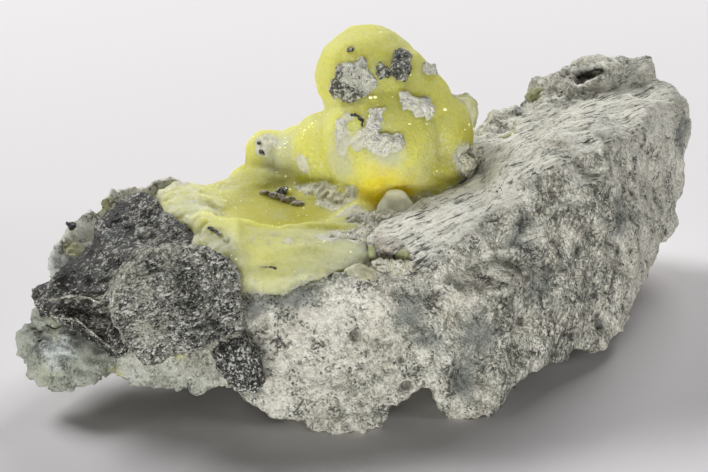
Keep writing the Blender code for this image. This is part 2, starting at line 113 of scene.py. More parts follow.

# Spots on the plates: pale ones, one of them painted light in the shaded slit below the upper plate, rusty,
# cool and darker ones, some of them painted shade in the front plate's hollow and that slit, a crack, and
# where the front plate sinks or swells.
PLATE_PALE_AND_LIT_SPOTS = [
    ((-34.6, -13.6, 27.6), 3.2), ((-36.5, -18.5, 26.6), 2.0), ((-36.0, -29.6, 26.0), 5.0),
    ((-30.5, -26.0, 29.0), 2.6), ((-33.5, -32.4, 19.5), 4.0), ((-42.5, -23.7, 17.5), 3.4),
]
RUST_SPOTS = [((-45, -14, 25), 5.0), ((-49, -20, 23), 4.5), ((-41, -7, 28), 4.0)]
COOL_SPOTS = [((-41.5, -13.2, 27.4), 1.8)]
SHADE_SPOTS = [
    ((-25.4, -28.4, 26.0), 6.5), ((-25.1, -31.5, 20.6), 4.6), ((-45, -26.5, 20), 4.0),
    ((-46, -21, 24.5), 6.0), ((-20, -29.5, 22), 3.0),
]
CRACK = [((-23.4 + 0.6 * i, -32.2, 18.0 - 0.75 * i), 0.9) for i in range(13)]
DENT_SPOTS = [((-25.4, -28.4, 26.0), 6.0)]
SWELL_SPOTS = [((-31.5, -28.5, 25.5), 3.5), ((-29.7, -31.0, 22.0), 3.5)]

# The brucite's round lobes, as centre and radius.
LOBES = [
    ((2.5, 16, 45.2), 9.2), ((7.6, 14, 45.0), 6.3), ((5.2, 9.5, 35.2), 10.8), ((13.6, 13, 35.6), 7.9),
    ((14.0, 9, 30.0), 6.0), ((12.6, 4.6, 26.6), 5.6), ((-4.6, 13, 31.8), 7.2), ((-10.3, 16, 31.4), 3.9),
    ((-15.2, 17, 29.4), 4.8), ((3.0, 24, 38.0), 8.6), ((12.0, 23, 29.5), 7.6), ((-6.0, 23, 27.6), 6.2),
    ((9.5, 12.4, 41.2), 7.7), ((3.0, 1.6, 27.0), 3.6), ((-11.0, 14.6, 29.6), 4.4), ((-4.5, 6.5, 24.2), 5.0),
    ((-0.8, 3.6, 24.6), 4.8), ((3.5, 29, 23.5), 8.4), ((-18.0, 18, 20.5), 6.6), ((-25.5, 9, 21.8), 4.8),
]

# The basin seen from above, where it is raised to a dish and where it stays olive, and the round rim
# that most glints follow, as centre and radii.
FLAT = (1, 1, 0)
DISH_SPOTS = [((-13.5, 1.0, 0.0), 15.0)]
BOWL_SPOTS = [((-13.5, 0.0, 0.0), 16.0)]
BASIN_RIM = ((-13, -1.6, 36), (16.6, 13.6, 12.4))

# The front wall's brim, and the height from which the wall sinks to it.
BRIM = 29.5
WALL_FOOT = 26.0

# How far the bead's skin is in front of its solid and below it.
BEAD_LOWER = (0, 0.3, 1.0)

# Soft spots of colour and of crust on the brucite, as centre and radius. Dust is the thinnest crust.
DEEP_SPOTS = [((5.5, 1.0, 29.5), 8.0)]
OLIVE_SPOTS = [((15.5, 3, 30.5), 6.0), ((-14, 0, 22), 15.0), ((-24, 9, 26), 6.0), ((20, 10, 36), 5.0)]
PALE_SPOTS = [
    ((-13, 13, 31), 6.0), ((0.5, -22, 28.5), 7.5), ((-27, -4, 29), 7.0), ((-22, -22, 28), 6.0),
    ((-8, -26, 26), 4.5), ((-3, 2, 34), 5.0), ((6, -2, 37), 5.0),
]
FROST_SPOTS = [
    ((-4.5, 3.0, 28.4), 3.6), ((-0.5, 1.0, 28.2), 3.4), ((-8, 5.5, 27.8), 2.6), ((-3.4, 1.7, 26.3), 4.6),
    ((-6.1, 5.1, 26.7), 3.0), ((-0.7, -4.8, 28.2), 3.4), ((-8.8, 6.6, 27.0), 2.2),
    ((-16.2, 14.2, 32.6), 3.2), ((-9.1, 7.7, 31.4), 2.2), ((-2.0, 2.4, 39.0), 3.2),
    ((-1.7, 3.6, 42.4), 2.4), ((1.4, -0.4, 40.2), 3.0), ((19.0, 7.4, 33.0), 4.8), ((-31, 7, 29), 3.0),
    ((4.0, -8, 28.6), 3.0), ((-4, -18.5, 31), 2.6), ((0.5, -18, 31), 3.0), ((-11, -19.5, 31.3), 1.4),
    ((0.5, -11, 28), 2.6), ((-15.8, 0, 26), 1.2), ((-2.4, 1.6, 37.2), 2.4), ((0.6, 0.4, 38.6), 2.4),
    ((12.4, 5.4, 43.6), 2.8),
]
DUST_SPOTS = [
    ((-3, 28, 42), 8.0), ((10, 27, 32), 7.0), ((-20, 22, 22), 7.0), ((4, 34, 26), 7.0), ((2, 24, 50), 6.0),
    ((-8, 27, 32), 5.0), ((16, 4, 36), 8.0), ((-22, 8, 27), 6.0), ((-27, 0, 28), 5.0), ((-8, 8, 31), 6.0),
    ((-13, -12, 26), 4.0), ((3, 2, 40), 7.0), ((-20, -20, 27), 5.0), ((-2, -24, 28), 5.0),
]
GLINT_SPOTS = [((-12, 10, 31), 7), ((15, 10, 36), 8), ((-26, 3, 28), 6)]
# The three largest painted glints.
SPARKLES = [(3.6, 5.2, 45.2), (2.8, 5.3, 45.4), (15.2, 8.6, 41.9)]

# Folded lips of pale rock along the dark plates, as points and how thick they are.
LIPS = [
    ([(-39.4, -31.9, 22.6), (-38.9, -30.9, 25.5), (-37.9, -29.7, 26.9), (-36.8, -28.5, 28.2),
      (-35.0, -26.7, 29.5), (-34.1, -25.6, 30.1), (-31.1, -24.9, 30.5), (-29.3, -24.5, 30.7),
      (-26.0, -24.7, 30.5)], 0.2),
    ([(-42.2, -25.7, 20.8), (-40.5, -24.8, 22.9), (-39.6, -21.8, 24.6), (-38.1, -20.2, 25.6),
      (-36.3, -18.3, 26.6), (-34.5, -16.2, 26.7)], 0.19),
    ([(-49.3, -26.6, 21.8), (-47.6, -26.0, 22.1), (-45.3, -25.9, 22.1), (-43.7, -25.8, 21.7),
      (-42.3, -25.7, 20.9)], 0.15),
    ([(-50.0, -28.2, 20.2), (-49.3, -27.5, 19.1), (-46.1, -25.6, 17.6), (-43.9, -26.8, 16.3),
      (-41.3, -28.5, 14.8), (-39.2, -30.0, 13.9)], 0.2),
]

# Slivers of dark rock caught on the brucite, as points and how thick they are.
TWIGS = [
    ([(-24.5, -15.1, 29.6), (-23.2, -16.9, 29.8), (-22.3, -18.3, 29.7)], 0.26),
    ([(-15.4, -25.2, 27.2), (-13.9, -25.7, 27.3), (-12.6, -25.9, 27.2)], 0.17),
    ([(-0.4, 2.6, 43.0), (0.6, 2.2, 43.0), (1.5, 1.8, 42.2), (1.4, 1.7, 41.4)], 0.24),
    ([(-0.9, 10.6, 52.2), (-0.3, 10.6, 52.3)], 0.5),
    ([(-16.8, 12.8, 31.9), (-16.3, 12.7, 31.7)], 0.42),
    ([(-17.4, 14.0, 33.0), (-16.9, 13.9, 33.1)], 0.25),
    ([(1.6, -19.6, 28.0), (1.2, -20.6, 26.9), (1.4, -21.5, 25.8)], 0.2),
]

# Dark places on the largest crumb.
CRUMB_SHADE_SPOTS = [
    ((-3.4, 9.0, 48.0), 2.8), ((-3.0, 8.0, 45.4), 3.0), ((0.0, 7.0, 44.2), 2.6), ((3.0, 8.0, 44.8), 1.6),
]

# Crumbs that lie along the crust and how thick they are drawn, how far in front of their solids they
# lie, how far the strip's skin is below its solid, and the crumbs that are all pale.
LAID_CRUMBS = {"rock_splinter": 0.7, "metal_grain": 1.15}
LAID_FORWARD = (0, 1.6, 0)
STRIP_LOWER = (0, 0, 0.6)
PALE_CRUMBS = ("crumb_pale", "crumb_speckled", "crumb_white")

# Lumps of olive, translucent brucite in the crag and at the basin's right corner.
GREEN_LUMPS = [
    ((36.0, 35.7, 34.3), (2.2, 1.8, 1.5)), ((34.4, 36.1, 33.6), (1.6, 1.5, 1.3)),
    ((30.3, 20.0, 32.0), (2.4, 1.8, 1.1)), ((28.6, 19.0, 31.7), (1.5, 1.3, 0.9)),
    ((2.9, -21.3, 27.4), (0.7, 1.0, 1.9)), ((8.2, -20.6, 26.9), (1.4, 1.0, 1.3)),
]
# Pale lumps of brucite below the wall and on its left end.
PALE_LUMPS = [
    ((0.6, -25.6, 26.0), (2.3, 1.6, 1.7)), ((2.4, -25.6, 25.8), (1.5, 1.2, 1.3)),
    ((-21.2, -19.9, 29.6), (0.5, 0.9, 0.5)),
]

# Gritty rock in the corner between the wall, the basin and the slickenside.
GRIT_LUMPS = [
    ((4.8, -23.6, 26.5), (1.8, 1.3, 1.0)), ((6.8, -23.0, 26.2), (1.7, 1.3, 1.0)),
    ((8.6, -22.4, 25.8), (1.6, 1.2, 0.9)), ((0.8, -17.4, 29.0), (2.8, 2.0, 0.9)),
    ((-2.4, -17.2, 29.1), (2.2, 1.4, 0.7)), ((2.4, -13.6, 28.2), (1.7, 3.0, 1.0)),
    ((19.6, 6.6, 31.6), (2.0, 1.6, 2.2)), ((21.2, 9.6, 32.2), (1.8, 1.8, 1.8)),
    ((4.8, -6.0, 27.2), (2.4, 1.8, 1.2)), ((2.6, -8.0, 27.8), (2.2, 2.4, 1.1)),
    ((6.6, -7.4, 27.9), (2.2, 1.8, 0.9)), ((0.4, -8.9, 28.3), (1.8, 2.0, 1.0)),
]

# What the camera and most lights face, and what the snooted one faces, in millimetres in the frame.
MIDDLE = (*HOLLOW[:2], 21.0)
BASIN_TOP = (HOLLOW[0] - 4, HOLLOW[1] + 4, 32.0)

# Each light's name, place and size in metres, watts, what it faces and its spread in degrees.
# A spread of a few degrees gathers the light into a beam, as a snoot does.
LIGHTS = (
    ("back_left", (-0.94, 0.78, 1.03), (0.8, 0.5), 19.0, MIDDLE, 180),
    ("back_right", (0.52, 1.11, 1.03), (0.8, 0.5), 13.5, MIDDLE, 180),
    ("right_side", (1.4, -0.37, 0.68), (0.6, 0.6), 3.0, MIDDLE, 180),
    ("front_card", (-0.15, -0.9, 0.025), (0.9, 0.045), 6.6, MIDDLE, 180),
    ("basin_snoot", (-0.25, -0.7, 0.8), (0.04, 0.04), 0.0015, BASIN_TOP, 4),
)


def linear(hex_colour):
    """The linear red, green and blue of an sRGB hex colour."""
    parts = [int(hex_colour[i : i + 2], 16) / 255 for i in (0, 2, 4)]
    return tuple(((p + 0.055) / 1.055) ** 2.4 if p > 0.04045 else p / 12.92 for p in parts)


def colour(name, description, hex_colour):
    """A colour property whose default is that hex colour."""
    return FloatVectorProperty(
        name=name, description=description, subtype="COLOR", size=3, min=0.0, max=1.0,
        default=linear(hex_colour),
    )


def length(name, description, millimetres):
    """A length property whose default is in millimetres."""
    return FloatProperty(
        name=name, description=description, unit="LENGTH", subtype="DISTANCE",
        default=millimetres * MM, min=0.0, precision=5,
    )


class RockSettings(bpy.types.PropertyGroup):
    """Sizes and colours of the pale rock."""

    voxel: length("Mesh size", "Edge of the voxels that the skin is rebuilt from", 0.52)
    chips: length("Chips", "How far the broken chips stand out", 0.8)
    grooves: length("Grooves", "Depth of the slickenside's grooves", 0.35)
    powder: colour("Powder", "White powder on scraped and high places", "F2F0E4")
    chalk: colour("Chalk", "Weathered, chalky rock", "CFCDBE")
    grey: colour("Grey", "Fresh grey serpentine", "85867A")
    blue: colour("Blue grey", "Smooth blue-grey serpentine", "7C817C")
    dark: colour("Dark", "Dark fibres and flecks", "33332D")
    pale_green: colour("Pale green", "Translucent crystals at the left end", "A4AA9C")
    olive: colour("Olive", "Windows of yellow brucite in the rock", "BDBB82")
    warm: colour("Warm", "Rusty and pinkish stains", "BE9E88")


class PlateSettings(bpy.types.PropertyGroup):
    """Sizes and colours of the dark wall-rock plates."""

    voxel: length("Mesh size", "Edge of the voxels that the skin is rebuilt from", 0.34)
    relief: length("Relief", "How far the broken grains stand out", 0.5)
    brown: colour("Brown", "Rusty stains of the upper plate", "4C3A28")
    black: colour("Black", "Dark grains", "1E1E1A")
    grey: colour("Grey", "Ground of the front plate", "8E8E82")
    white: colour("White", "Pale grains", "E2E2D8")


class BruciteSettings(bpy.types.PropertyGroup):
    """Sizes and colours of the brucite."""

    voxel: length("Mesh size", "Edge of the voxels that the skin is rebuilt from", 0.4)
    lemon: colour("Lemon", "Lit body of the crust", "DCDA6E")
    cream: colour("Cream", "Pale body at the left and in the front wall", "CFD1A8")
    olive: colour("Olive", "Thick body in the basin and at the right", "C4BE40")
    deep: colour("Deep yellow", "Saturated yellow at the foot of the dome", "ECDA2E")
    frost: colour("Frost", "White crust on the brucite", "EEECD8")
    glow: length("Glow", "How far light travels inside", 6.0)
    glints: IntProperty(name="Glints", description="How many tiny crystals glint on the brucite",
                        default=420, min=0)


class CrumbSettings(bpy.types.PropertyGroup):
    """Sizes of the crumbs and grains."""

    voxel: length("Mesh size", "Edge of the voxels that the skin is rebuilt from", 0.16)
    relief: length("Relief", "How rough the crumbs are", 0.22)


class StageSettings(bpy.types.PropertyGroup):
    """The camera and the floor."""

    distance: length("Distance", "From the camera to the middle of the specimen", 349.0)
    elevation: FloatProperty(name="Elevation", description="Height angle of the camera",
                             subtype="ANGLE", default=radians(25))
    lens: FloatProperty(name="Lens", description="Focal length in millimetres", default=100.0)
    floor: colour("Floor", "Plain pale floor", "EDEAEC")


# Mesh code.


def smooth(low, high, values):
    """0 below low, 1 above high, and a soft step between; low may be the larger."""
    share = np.clip((values - low) / (high - low), 0, 1)
    return share * share * (3 - 2 * share)


def seeded(points, spacing, seed):
    """The points in spacings of a pattern, in a part of its space that is the seed's own."""
    shift = Vector((seed * 7.31, seed * 3.17, seed * 5.77))
    return [Vector(point) + shift for point in (points / spacing).tolist()]


def fractal(points, spacing, seed, octaves=4):
    """Fractal noise of that spacing in millimetres at each point, about -1 to 1."""
    return np.array([noise.fractal(p, 0.9, 2.0, octaves) for p in seeded(points, spacing, seed)])


def cells(points, spacing, seed):
    """For each point, its cell's random number from 0 to 1, and the distances to the two cells."""
    chance = np.empty(len(points))
    first = np.empty(len(points))
    second = np.empty(len(points))
    for i, point in enumerate(seeded(points, spacing, seed)):
        gaps, centres = noise.voronoi(point)
        chance[i] = (centres[0].x * 91.7 + centres[0].y * 57.3 + centres[0].z * 33.1) % 1
        first[i] = gaps[0]
        second[i] = gaps[1]
    return chance, first, second


def stretched(points, direction, times):
    """The points squeezed along a direction, so that noise there draws out into streaks."""
    axis = np.array(direction) / np.linalg.norm(direction)
    along = points @ axis
    return points - np.outer(along * (1 - 1 / times), axis)


def near(points, spots):
    """How near each point is to the nearest spot: 1 in its middle, 0 outside its radius."""
    nearest = np.zeros(len(points))
    for centre, radius in spots:
        gap = np.linalg.norm(points - np.array(centre), axis=1) / radius
        nearest = np.maximum(nearest, smooth(1.0, 0.3, gap))
    return nearest


def dished(points):
    """The points, with those low in the basin raised towards a shallow dish."""
    lowest, level = 22, 28.0
    dish = near(points * FLAT, DISH_SPOTS) * (points[:, 2] > lowest)
    raised = points.copy()
    raised[:, 2] += 0.5 * dish * np.maximum(level - points[:, 2], 0)
    return raised


def read_skin(obj):
    """The mesh's points in millimetres about the hollow, and its normals."""
    mesh = obj.data
    points = np.empty(len(mesh.vertices) * 3, np.float32)
    normals = np.empty_like(points)
    mesh.vertices.foreach_get("co", points)
    mesh.vertex_normals.foreach_get("vector", normals)
    return points.reshape(-1, 3).astype(float) / MM - HOLLOW, normals.reshape(-1, 3).astype(float)


def write_skin(obj, points):
    """Moves the mesh's points there, none of them below the floor."""
    places = (points + HOLLOW) * MM
    places[:, 2] = np.maximum(places[:, 2], 0.0)
    obj.data.vertices.foreach_set("co", places.ravel().astype(np.float32))
    obj.data.update()


def paint(obj, name, values):
    """Stores a number for each point, which the material reads by name."""
    layer = obj.data.attributes.new(name, "FLOAT", "POINT")
    layer.data.foreach_set("value", np.clip(values, 0, 1).astype(np.float32))


def link(name, mesh):
    """A new object of that mesh, in the scene."""
    obj = bpy.data.objects.new(name, mesh)
    bpy.context.scene.collection.objects.link(obj)
    return obj


def rebuilt(obj, voxel, passes):
    """Rebuilds the mesh as one even skin, and smooths it by so many passes."""
    remesh = obj.modifiers.new("rebuild", "REMESH")
    remesh.mode = "VOXEL"
    remesh.voxel_size = voxel
    soften = obj.modifiers.new("soften", "SMOOTH")
    soften.factor = 0.5
    soften.iterations = passes
    graph = bpy.context.evaluated_depsgraph_get()
    mesh = bpy.data.meshes.new_from_object(obj.evaluated_get(graph))
    obj.modifiers.clear()
    obj.data = mesh
    for polygon in mesh.polygons:
        polygon.use_smooth = True
    return obj


def drop_scraps(obj):
    """Deletes every loose shell of the mesh but its largest."""
    bm = bmesh.new()
    bm.from_mesh(obj.data)
    waiting = set(bm.verts)
    shells = []
    while waiting:
        shell = [waiting.pop()]
        for vertex in shell:
            for edge in vertex.link_edges:
                other = edge.other_vert(vertex)
                if other in waiting:
                    waiting.discard(other)
                    shell.append(other)
        shells.append(shell)
    for scrap in sorted(shells, key=len)[:-1]:
        bmesh.ops.delete(bm, geom=scrap, context="VERTS")
    bm.to_mesh(obj.data)
    bm.free()


def skin_of(node, name, voxel, passes):
    """An even skin of a CAD node, with its facets smoothed away."""
    skin = rebuilt(link(name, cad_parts[node].data.copy()), voxel, passes)
    drop_scraps(skin)
    return skin


def faces_of(obj):
    """The object's faces, ready for asking which of them is nearest or is hit."""
    return BVHTree.FromPolygons([v.co for v in obj.data.vertices],
                                [tuple(p.vertices) for p in obj.data.polygons])


def laid(points, ground, thickness):
    """The points of a long piece, laid along the ground below it, its thickness times the one given."""
    search, lift = 4, 0.35
    middle = points.mean(0)
    _, axes = np.linalg.eigh(np.cov(points.T))
    along = (points - middle) @ axes[:, -1]
    below = []
    for x, y, z in ((points + HOLLOW) * MM).tolist():
        hit = ground.ray_cast((x, y, z + search * MM), (0, 0, -1))[0]
        below.append(hit.z / MM)
    slope = np.polyfit(along, np.array(below) - points[:, 2], 1)
    spine = middle + along[:, None] * axes[:, -1]
    straight = spine + thickness * (points - spine)
    straight[:, 2] += np.polyval(slope, along) + lift
    return straight


def add_ball(bm, centre, radii, turn=(0, 0, 0), subdivisions=3):
    """Adds an ellipsoid at a place in millimetres about the hollow."""
    size = Matrix.Diagonal((*(Vector(radii) * MM), 1.0))
    turned = Euler([radians(angle) for angle in turn]).to_matrix().to_4x4()
    place = Matrix.Translation((Vector(centre) + Vector(HOLLOW)) * MM) @ turned @ size
    bmesh.ops.create_icosphere(bm, subdivisions=subdivisions, radius=1.0, matrix=place)


def fused(name, lumps, voxel, passes):
    """One object of overlapping ellipsoids, each given as centre and radii in millimetres."""
    bm = bmesh.new()
    for centre, radii in lumps:
        add_ball(bm, centre, radii)
    return rebuilt(mesh_object(name, bm), voxel * MM, passes)


def add_ridge(bm, path, thick):
    """Adds overlapping balls along the path, so that they fuse into a ragged ridge."""
    steps = 9
    for here, after in zip(path, path[1:]):
        for i in range(steps):
            spot = Vector(here).lerp(Vector(after), i / steps)
            size = thick * (1 + 0.5 * noise.noise(spot * 0.9))
            add_ball(bm, spot, (size, size * 1.5, size), subdivisions=2)


def mesh_object(name, bm):
    """A new object of what was modelled, which is used up."""
    bmesh.ops.recalc_face_normals(bm, faces=bm.faces)
    mesh = bpy.data.meshes.new(name)
    bm.to_mesh(mesh)
    bm.free()
    return link(name, mesh)


def dress(obj, material, slot, *nodes):
    """Gives the piece its material and body, and hides the CAD nodes that it stands for. The slot is not
    used.
    """
    obj.data.materials.clear()
    obj.data.materials.append(material)
    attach(obj, "root")
    if nodes:
        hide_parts(*nodes)


# Materials.


# The kinds of node, each with the settings that it always has here.
MIX = ("ShaderNodeMix", {"data_type": "RGBA"})
MIX_NUMBERS = ("ShaderNodeMix", {"data_type": "FLOAT"})
NOISE = ("ShaderNodeTexNoise", {})
NOISE_4D = ("ShaderNodeTexNoise", {"noise_dimensions": "4D"})
VORONOI = ("ShaderNodeTexVoronoi", {})
EDGES = ("ShaderNodeTexVoronoi", {"feature": "DISTANCE_TO_EDGE"})
RANGE = ("ShaderNodeMapRange", {})
ADD = ("ShaderNodeMath", {"operation": "ADD"})
SUBTRACT = ("ShaderNodeMath", {"operation": "SUBTRACT"})
MULTIPLY = ("ShaderNodeMath", {"operation": "MULTIPLY"})
MULTIPLY_CLAMPED = ("ShaderNodeMath", {"operation": "MULTIPLY", "use_clamp": True})
MULTIPLY_ADD = ("ShaderNodeMath", {"operation": "MULTIPLY_ADD"})
MAXIMUM = ("ShaderNodeMath", {"operation": "MAXIMUM"})
WARP = ("ShaderNodeVectorMath", {"operation": "MULTIPLY_ADD"})
DRAW_OUT = ("ShaderNodeMapping", {"vector_type": "TEXTURE"})
SPLIT = ("ShaderNodeSeparateColor", {})
BUMP = ("ShaderNodeBump", {})
PLACE = ("ShaderNodeTexCoord", {})
ZONE = ("ShaderNodeAttribute", {})


def fill(node, values):
    """Sets or links the node's inputs.

    A node that is given stands for its first output in use, and a colour may be sRGB hex.
    """
    for name, value in values.items():
        socket = node.inputs[name]
        if isinstance(value, bpy.types.Node):
            value = next(output for output in value.outputs if output.enabled)
        if isinstance(value, bpy.types.NodeSocket):
            node.id_data.links.new(value, socket)
        elif socket.type == "RGBA":
            socket.default_value = (*(linear(value) if isinstance(value, str) else value), 1.0)
        else:
            socket.default_value = value


def add_node(tree, kind, values=None, **settings):
    """Adds a node of that kind with its settings, and sets or links its inputs."""
    name, shared = kind
    node = tree.nodes.new(name)
    for setting, value in {**shared, **settings}.items():
        setattr(node, setting, value)
    fill(node, values or {})
    return node


def new_material(name, *zones):
    """A material, what adds its nodes, its shader, its place on the object and its painted zones."""
    material = bpy.data.materials.new(name)
    material.use_nodes = True
    tree = material.node_tree
    tree.nodes.clear()
    add = partial(add_node, tree)
    shader = add(("ShaderNodeBsdfPrincipled", {}))
    add(("ShaderNodeOutputMaterial", {}), {"Surface": shader})
    where = add(PLACE).outputs["Object"]
    zone = {painted: add(ZONE, attribute_name=painted).outputs["Fac"] for painted in zones}
    return material, add, shader, where, zone


def per(millimetres):
    """The texture scale at which a pattern repeats every so many millimetres."""
    return 1.0 / (millimetres * MM)


def serpentinite(settings):
    """Altered serpentine rock, broken and weathered: chalky white and grey with dark fibres."""
    material, add, shader, where, zone = new_material(
        "serpentinite_broken_and_weathered", "slip", "fibre", "blue", "dark_and_shade", "paler_and_lit", "warm", "pale",
        "ice_and_highlight", "window", "relief", "glitter",
    )
    bend = add(NOISE, {"Vector": where, "Scale": per(2.5), "Detail": 2.0})
    bent = add(WARP, {0: bend.outputs["Color"], 1: (0.0015, 0.0015, 0.0015), 2: where})
    broad = add(NOISE, {"Vector": where, "Scale": per(6), "Detail": 4.0, "Roughness": 0.6})
    mottle = add(NOISE, {"Vector": bent, "Scale": per(1.8), "Detail": 6.0, "Roughness": 0.75})
    crowd = add(NOISE_4D, {"Vector": where, "W": 1.3, "Scale": per(3.2), "Detail": 3.0, "Roughness": 0.6})
    fleck = add(NOISE_4D, {"Vector": where, "W": 3.7, "Scale": per(0.5), "Detail": 3.0, "Roughness": 0.75})
    seam = add(EDGES, {"Vector": bent, "Scale": per(5.5)})
    # Serpentine's own grains are far finer; these are drawn as coarse as a few of them together.
    grain = add(VORONOI, {"Vector": where, "Scale": per(0.36)})
    chance = add(SPLIT, {"Color": grain.outputs["Color"]})
    clump = add(VORONOI, {"Vector": bent, "Scale": per(1.0)})
    clump_chance = add(SPLIT, {"Color": clump.outputs["Color"]})
    slip_space = add(DRAW_OUT, {"Vector": where, "Rotation": (0, radians(-5), radians(35.6)),
                                "Scale": (12, 1, 1)})
    slips = add(NOISE, {"Vector": slip_space, "Scale": per(0.5), "Detail": 3.0, "Roughness": 0.7})
    hang_space = add(DRAW_OUT, {"Vector": where, "Rotation": (radians(6), radians(17), 0),
                                "Scale": (1, 1, 9)})
    hangs = add(NOISE, {"Vector": hang_space, "Scale": per(0.5), "Detail": 3.0, "Roughness": 0.7})
    dash_space = add(DRAW_OUT, {"Vector": bent, "Rotation": (0, radians(-38), 0), "Scale": (6, 1, 1)})
    shorts = add(NOISE, {"Vector": dash_space, "Scale": per(0.4), "Detail": 2.0, "Roughness": 0.6})

    # Ground: chalk over grey, and the whitest powder on the highest grains.
    tone = add(MULTIPLY_ADD, {0: mottle, 1: 0.8, 2: broad})
    tone = add(MULTIPLY_ADD, {0: chance.outputs[0], 1: 0.44, 2: tone})
    tone = add(MULTIPLY_ADD, {0: fleck, 1: 0.8, 2: tone})
    tone = add(MULTIPLY_ADD, {0: clump_chance.outputs[0], 1: 0.14, 2: tone})
    # Paler rock and painted light lift the tone.
    tone = add(MULTIPLY_ADD, {0: zone["paler_and_lit"], 1: 0.26, 2: tone})
    share = add(RANGE, {"Value": tone, "From Min": 1.3, "From Max": 1.62})
    ground = add(MIX, {0: share, 6: settings.grey, 7: settings.chalk})
    powder = add(RANGE, {"Value": tone, "From Min": 1.62, "From Max": 1.96})
    ground = add(MIX, {0: powder, 6: ground, 7: settings.powder})
    cream = add(NOISE_4D, {"Vector": bent, "W": 6.2, "Scale": per(5), "Detail": 4.0, "Roughness": 0.6})
    cream = add(RANGE, {"Value": cream, "From Min": 0.48, "From Max": 0.66, "To Max": 0.3})
    ground = add(MIX, {0: cream, 6: ground, 7: "CFC5AE"})
    # Smooth blue-grey serpentine in soft spots.
    blue = add(RANGE, {"Value": mottle, "From Min": 0.36, "From Max": 0.5, "To Min": 0.3, "To Max": 0.85})
    blue = add(MULTIPLY, {0: zone["blue"], 1: blue})
    ground = add(MIX, {0: blue, 6: ground, 7: settings.blue})
    # The slickenside is scraped nearly white, with short dark dashes along the slip.
    scraped = add(RANGE, {"Value": slips, "From Min": 0.58, "From Max": 0.4, "To Min": 0.1, "To Max": 0.85})
    scraped = add(MULTIPLY, {0: zone["slip"], 1: scraped})
    ground = add(MIX, {0: scraped, 6: ground, 7: settings.powder})
    dashes = add(MULTIPLY_ADD, {0: crowd, 1: 0.6, 2: slips})
    dashes = add(RANGE, {"Value": dashes, "From Min": 0.88, "From Max": 0.94, "To Max": 0.85})
    dashes = add(MULTIPLY, {0: dashes, 1: zone["slip"]})
    # Dark fibres hang down the nose and the right end, and lie in short bundles elsewhere.
    fibres = add(RANGE, {"Value": hangs, "From Min": 0.48, "From Max": 0.58, "To Max": 0.85})
    fibres = add(MULTIPLY, {0: fibres, 1: zone["fibre"]})
    dashes = add(MAXIMUM, {0: dashes, 1: fibres})
    glassy = add(MULTIPLY, {0: zone["pale"], 1: 0.45})
    calm = add(MAXIMUM, {0: zone["slip"], 1: glassy})
    calm = add(MULTIPLY_ADD, {0: calm, 1: -0.7, 2: 1.0})
    bundle = add(MULTIPLY_ADD, {0: crowd, 1: 0.7, 2: shorts})
    bundle = add(RANGE, {"Value": bundle, "From Min": 1.02, "From Max": 1.08, "To Max": 0.8})
    bundle = add(MULTIPLY, {0: bundle, 1: calm})
    dashes = add(MAXIMUM, {0: dashes, 1: bundle})
    ground = add(MIX, {0: dashes, 6: ground, 7: settings.dark})
    # Stains, the pale green crystals of the left end, and icy pale patches on them, partly a painted
    # highlight on the left lump and painted light on the back ledge.
    warm = add(RANGE, {"Value": chance.outputs[0], "From Min": 0.3, "From Max": 0.9, "To Max": 0.6})
    warm = add(MULTIPLY, {0: zone["warm"], 1: warm})
    ground = add(MIX, {0: warm, 6: ground, 7: settings.warm})
    depth = add(ADD, {0: mottle, 1: broad})
    depth = add(MULTIPLY_ADD, {0: fleck, 1: 0.5, 2: depth})
    depth = add(RANGE, {"Value": depth, "From Min": 1.04, "From Max": 1.3})
    crystal = add(MIX, {0: depth, 6: "6C7166", 7: settings.pale_green})
    ice_and_highlight = add(RANGE, {"Value": tone, "From Min": 1.3, "From Max": 1.65})
    ice_and_highlight = add(MULTIPLY, {0: zone["ice_and_highlight"], 1: ice_and_highlight})
    crystal = add(MIX, {0: ice_and_highlight, 6: crystal, 7: "D6DDE0"})
    clear = add(MULTIPLY, {0: zone["pale"], 1: 0.85})
    ground = add(MIX, {0: clear, 6: ground, 7: crystal})
    window = add(MULTIPLY, {0: zone["window"], 1: 0.8})
    ground = add(MIX, {0: window, 6: ground, 7: settings.olive})
    # Dark flecks in clusters, broken cracks, and single bright flakes.
    pepper = add(MULTIPLY_ADD, {0: fleck, 1: 1.2, 2: chance.outputs[2]})
    pepper = add(MULTIPLY_ADD, {0: crowd, 1: 2.2, 2: pepper})
    pepper = add(RANGE, {"Value": pepper, "From Min": 2.56, "From Max": 2.8, "To Max": 0.8})
    cracks = add(RANGE, {"Value": seam, "From Min": 0.03, "From Max": 0.015})
    broken = add(RANGE, {"Value": crowd, "From Min": 0.54, "From Max": 0.6, "To Max": 0.85})
    cracks = add(MULTIPLY, {0: cracks, 1: broken})
    pepper = add(MAXIMUM, {0: pepper, 1: cracks})
    pepper = add(MULTIPLY, {0: pepper, 1: calm})
    ground = add(MIX, {0: pepper, 6: ground, 7: settings.dark})
    flake = add(MULTIPLY_ADD, {0: zone["glitter"], 1: 0.04, 2: chance.outputs[1]})
    flake = add(RANGE, {"Value": flake, "From Min": 0.99, "From Max": 1.02})
    point = add(RANGE, {"Value": grain, "From Min": 0.4, "From Max": 0.2})
    flake = add(MULTIPLY, {0: flake, 1: point})
    ground = add(MIX, {0: flake, 6: ground, 7: settings.powder})
    # Painted shade in the hollows, and dark spots, partly painted shade under the plates' lip.
    hollow_shade_and_dark = add(RANGE, {"Value": zone["relief"], "From Min": 0.4, "From Max": 0.1, "To Max": 0.7})
    hollow_shade_and_dark = add(MAXIMUM, {0: hollow_shade_and_dark, 1: zone["dark_and_shade"]})
    ground = add(MIX, {0: hollow_shade_and_dark, 6: ground, 7: settings.dark})

